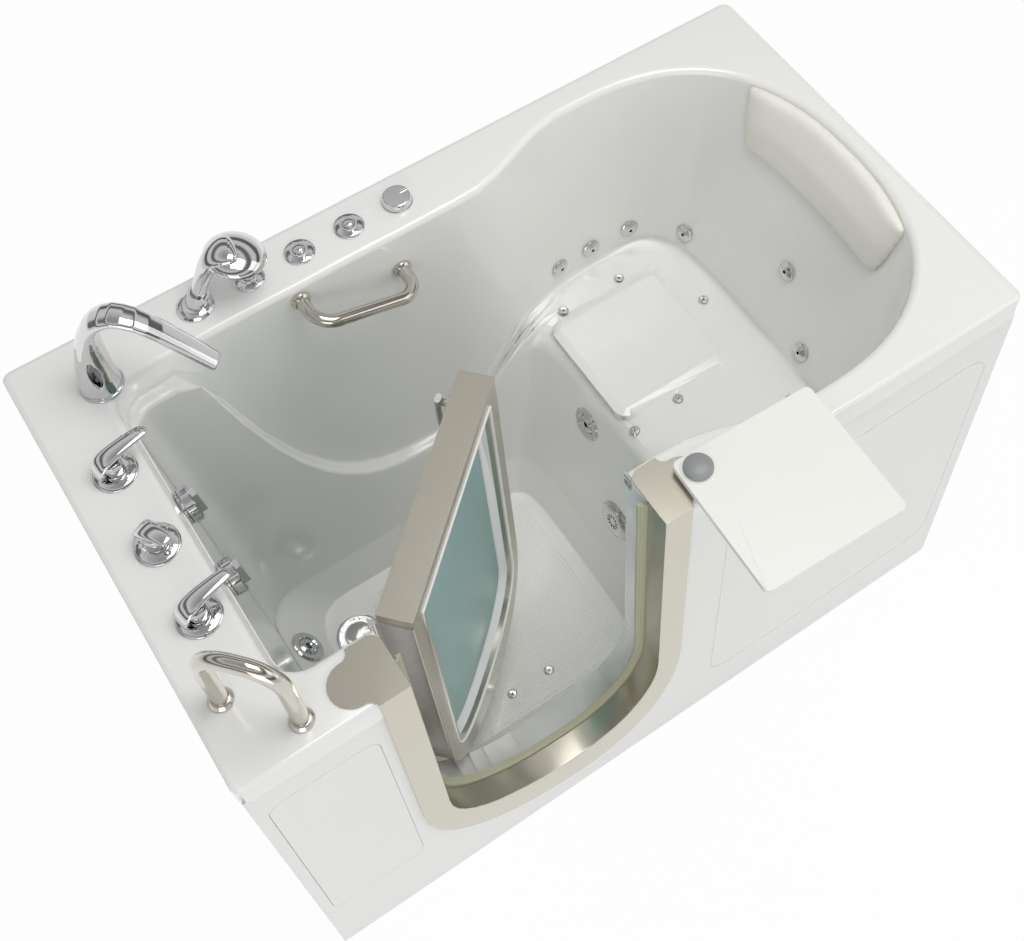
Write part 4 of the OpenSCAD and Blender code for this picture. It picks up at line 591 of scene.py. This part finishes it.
class TUB_OT_shell(bpy.types.Operator):
    """Smooths the moulded shell and adds the grip dots and crescents of its floor"""
    bl_idname = "tub.shell"
    bl_label = "Moulded shell"

    def execute(self, context):
        shell = merged_copy("tub_shell", "tub_shell_finish", keep_flat=0)
        smooth(shell, 38)
        modify(shell, "WEIGHTED_NORMAL", keep_sharp=True, weight=80)
        dress(shell, "acrylic_white", BODY_OF["tub_shell"], "tub_shell")
        self.dots(shell)
        self.crescents(shell)
        return {"FINISHED"}

    def on_floor(self, shell, x, y):
        """The place on the footwell's floor below a point, in millimetres."""
        start = Vector((x, y, ABOVE_FLOOR_Z)) * MM
        hit, point = shell.ray_cast(start, Vector((0, 0, -1)))[:2]
        if not hit:
            raise RuntimeError("The shell has no floor here")
        return (x, y, point.z / MM)

    def dots(self, shell):
        """One low dot, repeated over the middle of the floor."""
        radius, pitch = sizes().dot, sizes().dot_pitch
        place = Vector(self.on_floor(shell, *DOTS_LOW))
        place.z += DOT_HEIGHT / 2 - DOT_SUNK
        bpy.ops.object.select_all(action="DESELECT")
        bpy.ops.mesh.primitive_cone_add(vertices=DOT_SIDES, radius1=radius, depth=DOT_HEIGHT * MM,
                                        radius2=radius * DOT_TOP_SHARE, location=place * MM)
        dot = bpy.context.object
        dot.name = "floor_dots"
        dot.data.name = "floor_dots"
        settle(dot)
        for low, high, step in zip(DOTS_LOW, DOTS_HIGH, ((pitch, 0, 0), (0, pitch, 0))):
            modify(dot, "ARRAY", count=int((high - low) * MM / pitch), use_relative_offset=False,
                   use_constant_offset=True, constant_offset_displace=step)
        dress(dot, "acrylic_white", "tub")

    def crescents(self, shell):
        """Small raised crescents along the front of the footwell and round its air nozzles."""
        parts = []
        count = sizes().crescents
        for i in range(count):
            x = CRESCENT_ROW_X + CRESCENT_ROW_LENGTH * i / (count - 1)
            turn = CRESCENT_ROW_TURN if i % 2 else -CRESCENT_ROW_TURN
            parts.append(self.crescent(self.on_floor(shell, x, CRESCENT_ROW_Y), CRESCENT_REACH, turn))
        for x, y in FLOOR_NOZZLES:
            for turn in NOZZLE_RING_TURNS:
                place = self.on_floor(shell, x + NOZZLE_RING_RADIUS * math.cos(math.radians(turn)),
                                      y + NOZZLE_RING_RADIUS * math.sin(math.radians(turn)))
                parts.append(self.crescent(place, NOZZLE_RING_REACH, turn - 90))
        dress(joined(parts, "floor_crescents"), "acrylic_white", "tub")

    def crescent(self, place, reach, turn):
        """One bent, pointed crescent, half sunk in the floor."""
        rings = []
        for k in range(CRESCENT_SIDES + 1):
            along = 2 * k / CRESCENT_SIDES - 1
            round_share = 1 - along * along
            thick = max(CRESCENT_THINNEST,
                        CRESCENT_THICK * reach / CRESCENT_REACH * math.sqrt(round_share))
            bend = CRESCENT_BEND * reach * round_share
            angles = [2 * math.pi * i / CRESCENT_SIDES for i in range(CRESCENT_SIDES)]
            rings.append([Vector((along * reach, bend + thick * math.cos(a), thick * math.sin(a))) * MM
                          for a in angles])
        body = drawn("crescent", rings)
        smooth(body, 60)
        return placed(body, place, turn)


class TUB_OT_panels(bpy.types.Operator):
    """Rounds the edges of the apron, its panels and the frame below"""
    bl_idname = "tub.panels"
    bl_label = "Apron and frame"

    def execute(self, context):
        size = sizes()
        for node in ("front_apron", "access_panel", "toe_strip"):
            rounded_copy(node, size.panel_edge)
        for node in ("base_frame", "frame_posts", "levelling_feet"):
            rounded_copy(node, size.edge)
        return {"FINISHED"}


class TUB_OT_door(bpy.types.Operator):
    """Finishes the steel surround, its caps, the seal and the door leaf with its glass"""
    bl_idname = "tub.door"
    bl_label = "Door and surround"

    def execute(self, context):
        size = sizes()
        rounded_copy("door_surround", size.surround_edge, keep_flat=0)
        rounded_copy("left_jamb_cap", size.cap_edge)
        rounded_copy("right_jamb_cap", size.cap_edge)
        rounded_copy("door_frame", size.leaf_edge, keep_flat=0)
        rounded_copy("frame_seal", size.edge, keep_flat=0)
        rounded_copy("door_glass", size.edge)
        self.glazing(size)
        for node in ("hinge_jamb_leaf", "hinge_door_leaf", "latch_strike", "latch_bolt"):
            rounded_copy(node, size.hinge_edge)
        rounded_copy("latch_handle", 0)
        return {"FINISHED"}

    def glazing(self, size):
        """The white strips that slope from the pane up to both faces of the leaf."""
        strips = merged_copy("glass_gasket", "glass_gasket_finish", keep_flat=0)
        leaf = merged_copy("door_frame", "leaf_to_measure", keep_flat=0)
        pane = frame["nodes"]["door_glass"]
        widest = max(pane.data.polygons, key=lambda face: face.area)
        out = (pane.matrix_world.to_3x3() @ widest.normal).normalized()
        points = [pane.matrix_world @ vert.co for vert in pane.data.vertices]
        middle = sum(points, Vector()) / len(points)
        face = max((vert.co - middle).dot(out) for vert in leaf.data.vertices)
        clear = max(abs((point - middle).dot(out)) for point in points) + STRIP_CLEAR * MM
        only(strips)
        bpy.ops.object.mode_set(mode="EDIT")
        mesh = bmesh.from_edit_mesh(strips.data)
        for vert in mesh.verts:
            away = (vert.co - middle).dot(out)
            gap = (leaf.closest_point_on_mesh(vert.co)[1] - vert.co).length
            if abs(away) > clear and gap < STRIP_GAP * MM:
                vert.co += out * (math.copysign(face - size.edge, away) - away)
        bmesh.update_edit_mesh(strips.data)
        bpy.ops.object.mode_set(mode="OBJECT")
        bpy.data.objects.remove(leaf)
        smooth(strips)
        dress(strips, "gasket_white", BODY_OF["glass_gasket"], "glass_gasket")


class TUB_OT_tray(bpy.types.Operator):
    """Finishes the swivel tray, its post and its knob"""
    bl_idname = "tub.tray"
    bl_label = "Swivel tray"

    def execute(self, context):
        size = sizes()
        rounded_copy("swivel_tray", size.tray_edge)
        rounded_copy("tray_knob", size.edge)
        rounded_copy("tray_post", size.edge)
        return {"FINISHED"}


class TUB_OT_cushion(bpy.types.Operator):
    """Models the padded head cushion that follows the round of the rim"""
    bl_idname = "tub.cushion"
    bl_label = "Head cushion"

    def execute(self, context):
        pad = merged_copy("headrest", "head_cushion", keep_flat=0)
        modify(pad, "REMESH", mode="VOXEL", voxel_size=PAD_VOXEL * MM)
        modify(pad, "SMOOTH", factor=0.5, iterations=PAD_SMOOTHING)
        editing(pad, bpy.ops.transform.shrink_fatten, value=sizes().pad_swell)
        modify(pad, "SUBSURF", levels=1, render_levels=1)
        smooth(pad, 70)
        dress(pad, "headrest_cream", BODY_OF["headrest"], "headrest")
        return {"FINISHED"}


class TUB_OT_spout(bpy.types.Operator):
    """Draws out the arched spout with the leaf-shaped loop in its foot"""
    bl_idname = "tub.spout"
    bl_label = "Spout"

    def execute(self, context):
        body = drawn("spout_arch", stations(SPOUT_ROWS, sides=28))
        self.loop(body)
        modify(body, "REMESH", mode="VOXEL", voxel_size=SPOUT_VOXEL * MM)
        modify(body, "SMOOTH", factor=0.5, iterations=12)
        foot = drawn("spout_foot", turned_rings(SPOUT_FOOT, 64))
        whole = joined([body, foot], "spout_finish")
        smooth(whole, 50)
        placed(whole, SPOUT_PLACE, turn=SPOUT_TURN)
        dress(whole, "chrome", BODY_OF["spout"], "spout")
        return {"FINISHED"}

    def loop(self, body):
        """Cuts the leaf-shaped loop through the arch."""
        angles = [2 * math.pi * i / 24 for i in range(24)]
        rings = [[Vector((LOOP_X + LOOP_HALF_WIDTH * power(math.cos(a), LOOP_POINTED), y,
                          LOOP_Z + LOOP_HALF_HEIGHT * math.sin(a))) * MM for a in angles]
                 for y in (-LOOP_REACH, LOOP_REACH)]
        cutter = drawn("loop_cutter", rings)
        modify(body, "BOOLEAN", operation="DIFFERENCE", solver="EXACT", object=cutter)
        bpy.data.objects.remove(cutter)


class TUB_OT_shower(bpy.types.Operator):
    """Draws out the hand shower and finishes its holder"""
    bl_idname = "tub.shower"
    bl_label = "Hand shower"

    def execute(self, context):
        rounded_copy("shower_holder", sizes().edge)
        handle = drawn("handle", stations(HANDLE_ROWS, sides=28, square=2.1))
        modify(handle, "SUBSURF", levels=2, render_levels=2)
        head = placed(self.head(), HEAD_PLACE, lean=HEAD_LEAN)
        whole = joined([handle, head], "hand_shower_finish")
        smooth(whole, 40)
        whole.matrix_world = (Matrix.Translation(Vector(HOLDER_PLACE) * MM)
                              @ Matrix.Rotation(math.radians(HANDLE_TURN), 4, "Z")
                              @ Matrix.Translation(Vector(HANDLE_PLACE) * MM)
                              @ Matrix.Rotation(math.radians(HANDLE_LEAN), 4, "Y"))
        settle(whole)
        dress(whole, "chrome", BODY_OF["hand_shower"], "hand_shower")
        return {"FINISHED"}

    def head(self):
        """The round head with its rings of nozzles."""
        parts = [drawn("shower_head", turned_rings(HEAD_PROFILE, 64))]
        for radius, count in PIN_RINGS:
            for i in range(count):
                turn = 2 * math.pi * i / count
                pin = drawn("pin", turned_rings(PIN_PROFILE, 8))
                parts.append(placed(pin, (radius * math.cos(turn), radius * math.sin(turn), PIN_Z)))
        return joined(parts, "head")


class TUB_OT_valves(bpy.types.Operator):
    """Draws out the lever blades and finishes the valves"""
    bl_idname = "tub.valves"
    bl_label = "Deck valves"

    def execute(self, context):
        for node in ("hot_valve", "cold_valve", "diverter_valve"):
            rounded_copy(node, sizes().edge)
        for node, joint, turn, reach in LEVERS:
            self.lever(node, lever_seat(node, joint), turn, reach)
        return {"FINISHED"}

    def lever(self, node, place, turn, reach):
        """A lever's blade on its hub, turned to its place."""
        rows = list(BLADE_ROOT)
        rows += [(share * reach, *shape) for share, *shape in BLADE_REACH]
        blade = drawn("blade", stations(rows, sides=24))
        modify(blade, "SUBSURF", levels=2, render_levels=2)
        hub = drawn("hub", turned_rings(HUB_PROFILE, 48))
        whole = joined([blade, hub], node + "_finish")
        smooth(whole, 45)
        placed(whole, place, turn=turn)
        dress(whole, "chrome", BODY_OF[node], node)


class TUB_OT_rails(bpy.types.Operator):
    """Finishes the grab rail and the deck handle"""
    bl_idname = "tub.rails"
    bl_label = "Rails"

    def execute(self, context):
        for node in ("grab_rail", "deck_handle"):
            rounded_copy(node, sizes().edge)
        return {"FINISHED"}


class TUB_OT_fittings(bpy.types.Operator):
    """Finishes the buttons, dial, waste controls, drains, jets and nozzles"""
    bl_idname = "tub.fittings"
    bl_label = "Fittings"

    def execute(self, context):
        for node in ("button_bezels", "push_button_1", "push_button_2", "push_button_3",
                     "air_dial_base", "air_dial", "waste_controls", "waste_knob_1", "waste_knob_2",
                     "drain_bodies", "drain_stopper_1", "drain_stopper_2", "micro_jets",
                     "hydro_jet_bodies", "foot_jet_nozzle", "seat_jet_nozzle", "side_jet_nozzle",
                     "suction_cover", "air_injectors"):
            rounded_copy(node, sizes().fitting_edge)
        return {"FINISHED"}


class TUB_OT_plant(bpy.types.Operator):
    """Finishes the pump, the blower and the pipes below the shell"""
    bl_idname = "tub.plant"
    bl_label = "Pump and pipes"

    def execute(self, context):
        for node in ("water_pump", "air_blower"):
            rounded_copy(node, sizes().edge)
        for node in ("suction_pipe", "pressure_pipe", "air_pipe", "waste_pipes"):
            rounded_copy(node, 0)
        return {"FINISHED"}


class TUB_OT_stage(bpy.types.Operator):
    """Lays the pale floor and sets the lights and the camera"""
    bl_idname = "tub.stage"
    bl_label = "Stage"

    def execute(self, context):
        bpy.ops.object.select_all(action="DESELECT")
        bpy.ops.mesh.primitive_grid_add(x_subdivisions=8, y_subdivisions=8, size=FLOOR_WIDTH)
        floor = bpy.context.object
        floor.name = "studio_floor"
        floor.data.materials.append(self.floor_material())
        self.world()
        for lamp in LAMPS:
            self.lamp(*lamp)
        self.camera()
        context.scene.view_settings.view_transform = "Standard"
        return {"FINISHED"}

    def floor_material(self):
        """A pale floor that takes shadows and is nearly white to the camera, metal and glass."""
        mat = bpy.data.materials.new("studio_floor")
        mat.use_nodes = True
        tree = mat.node_tree
        shader = tree.nodes["Principled BSDF"]
        shader.inputs["Base Color"].default_value = (FLOOR_GREY, FLOOR_GREY, FLOOR_GREY, 1)
        shader.inputs["Roughness"].default_value = FLOOR_ROUGH
        seen = tree.nodes.new("ShaderNodeEmission")
        seen.inputs["Color"].default_value = (1, 1, 1, 1)
        path = tree.nodes.new("ShaderNodeLightPath")
        mirrored = worked_out(tree, "MAXIMUM", path.outputs["Is Glossy Ray"],
                              path.outputs["Is Transmission Ray"])
        straight = worked_out(tree, "MAXIMUM", path.outputs["Is Camera Ray"], mirrored)
        share = worked_out(tree, "MULTIPLY", straight, FLOOR_WHITE_SHARE)
        mix = tree.nodes.new("ShaderNodeMixShader")
        link(tree, share, mix.inputs["Fac"])
        link(tree, shader.outputs[0], mix.inputs[1])
        link(tree, seen.outputs[0], mix.inputs[2])
        link(tree, mix.outputs[0], tree.nodes["Material Output"].inputs["Surface"])
        return mat

    def world(self):
        """An even grey room, which polished metal sees as light and dark bands."""
        world = bpy.data.worlds.new("studio")
        bpy.context.scene.world = world
        world.use_nodes = True
        tree = world.node_tree
        where = tree.nodes.new("ShaderNodeTexCoord")
        parts = tree.nodes.new("ShaderNodeSeparateXYZ")
        bands = tree.nodes.new("ShaderNodeValToRGB")
        link(tree, where.outputs["Generated"], parts.inputs[0])
        link(tree, parts.outputs["Z"], bands.inputs[0])
        stops = bands.color_ramp.elements
        stops[0].position, stops[1].position = 0.0, 1.0
        stops[0].color, stops[1].color = ROOM_LOW, ROOM_HIGH
        for place, grey in ROOM_BANDS:
            stops.new(place).color = (grey, grey, grey, 1)
        path = tree.nodes.new("ShaderNodeLightPath")
        mix = tree.nodes.new("ShaderNodeMix")
        mix.data_type = "RGBA"
        mix.inputs[6].default_value = (ROOM_GREY, ROOM_GREY, ROOM_GREY, 1)
        link(tree, path.outputs["Is Glossy Ray"], mix.inputs["Factor"])
        link(tree, bands.outputs["Color"], mix.inputs[7])
        back = tree.nodes["Background"]
        back.inputs["Strength"].default_value = ROOM_STRENGTH
        link(tree, mix.outputs[2], back.inputs["Color"])

    def lamp(self, name, place, aim, width, watts):
        """A soft square lamp that faces its aim."""
        data = bpy.data.lights.new(name, "AREA")
        data.size = width
        data.energy = watts
        lamp = bpy.data.objects.new(name, data)
        lamp.location = place
        lamp.rotation_euler = (Vector(aim) - Vector(place)).to_track_quat("-Z", "Y").to_euler()
        bpy.context.scene.collection.objects.link(lamp)

    def camera(self):
        """The camera at the photograph's angle."""
        data = bpy.data.cameras.new("photo_angle")
        data.sensor_fit = "HORIZONTAL"
        data.sensor_width = CAMERA_SENSOR_MM
        data.lens = CAMERA_LENS_MM
        data.shift_x, data.shift_y = CAMERA_SHIFT
        data.clip_end = CAMERA_FAR
        cam = bpy.data.objects.new("photo_angle", data)
        axes = (Vector(CAMERA_RIGHT), -Vector(CAMERA_DOWN), -Vector(CAMERA_AHEAD))
        cam.matrix_world = Matrix.Translation(CAMERA_PLACE) @ Matrix(axes).transposed().to_4x4()
        bpy.context.scene.collection.objects.link(cam)
        bpy.context.scene.camera = cam


class TUB_PT_panel(bpy.types.Panel):
    """Lists the steps that finish the tub"""
    bl_idname = "TUB_PT_panel"
    bl_label = "Walk-in bathtub"
    bl_space_type = "VIEW_3D"
    bl_region_type = "UI"
    bl_category = "Bathtub"

    def draw(self, context):
        for step in STEPS:
            self.layout.operator(step.bl_idname)
        for group_of_values in (context.scene.tub_finishes, context.scene.tub_sizes):
            for key in group_of_values.__annotations__:
                self.layout.prop(group_of_values, key)


STEPS = (TUB_OT_materials, TUB_OT_shell, TUB_OT_panels, TUB_OT_door, TUB_OT_tray, TUB_OT_cushion,
         TUB_OT_spout, TUB_OT_shower, TUB_OT_valves, TUB_OT_rails, TUB_OT_fittings, TUB_OT_plant,
         TUB_OT_stage)
CLASSES = (TubFinishes, TubSizes) + STEPS + (TUB_PT_panel,)


def register():
    """Registers the classes and hangs the colours and sizes on the scene."""
    for cls in CLASSES:
        bpy.utils.register_class(cls)
    bpy.types.Scene.tub_finishes = PointerProperty(type=TubFinishes)
    bpy.types.Scene.tub_sizes = PointerProperty(type=TubSizes)


def unregister():
    """Takes all that register adds away again."""
    del bpy.types.Scene.tub_finishes
    del bpy.types.Scene.tub_sizes
    for cls in reversed(CLASSES):
        bpy.utils.unregister_class(cls)


def main():
    """Builds every finished piece in order, then the stage."""
    register()
    bpy.ops.tub.materials()
    bpy.ops.tub.shell()
    bpy.ops.tub.panels()
    bpy.ops.tub.door()
    bpy.ops.tub.tray()
    bpy.ops.tub.cushion()
    bpy.ops.tub.spout()
    bpy.ops.tub.shower()
    bpy.ops.tub.valves()
    bpy.ops.tub.rails()
    bpy.ops.tub.fittings()
    bpy.ops.tub.plant()
    bpy.ops.tub.stage()


if __name__ == "__main__":
    main()
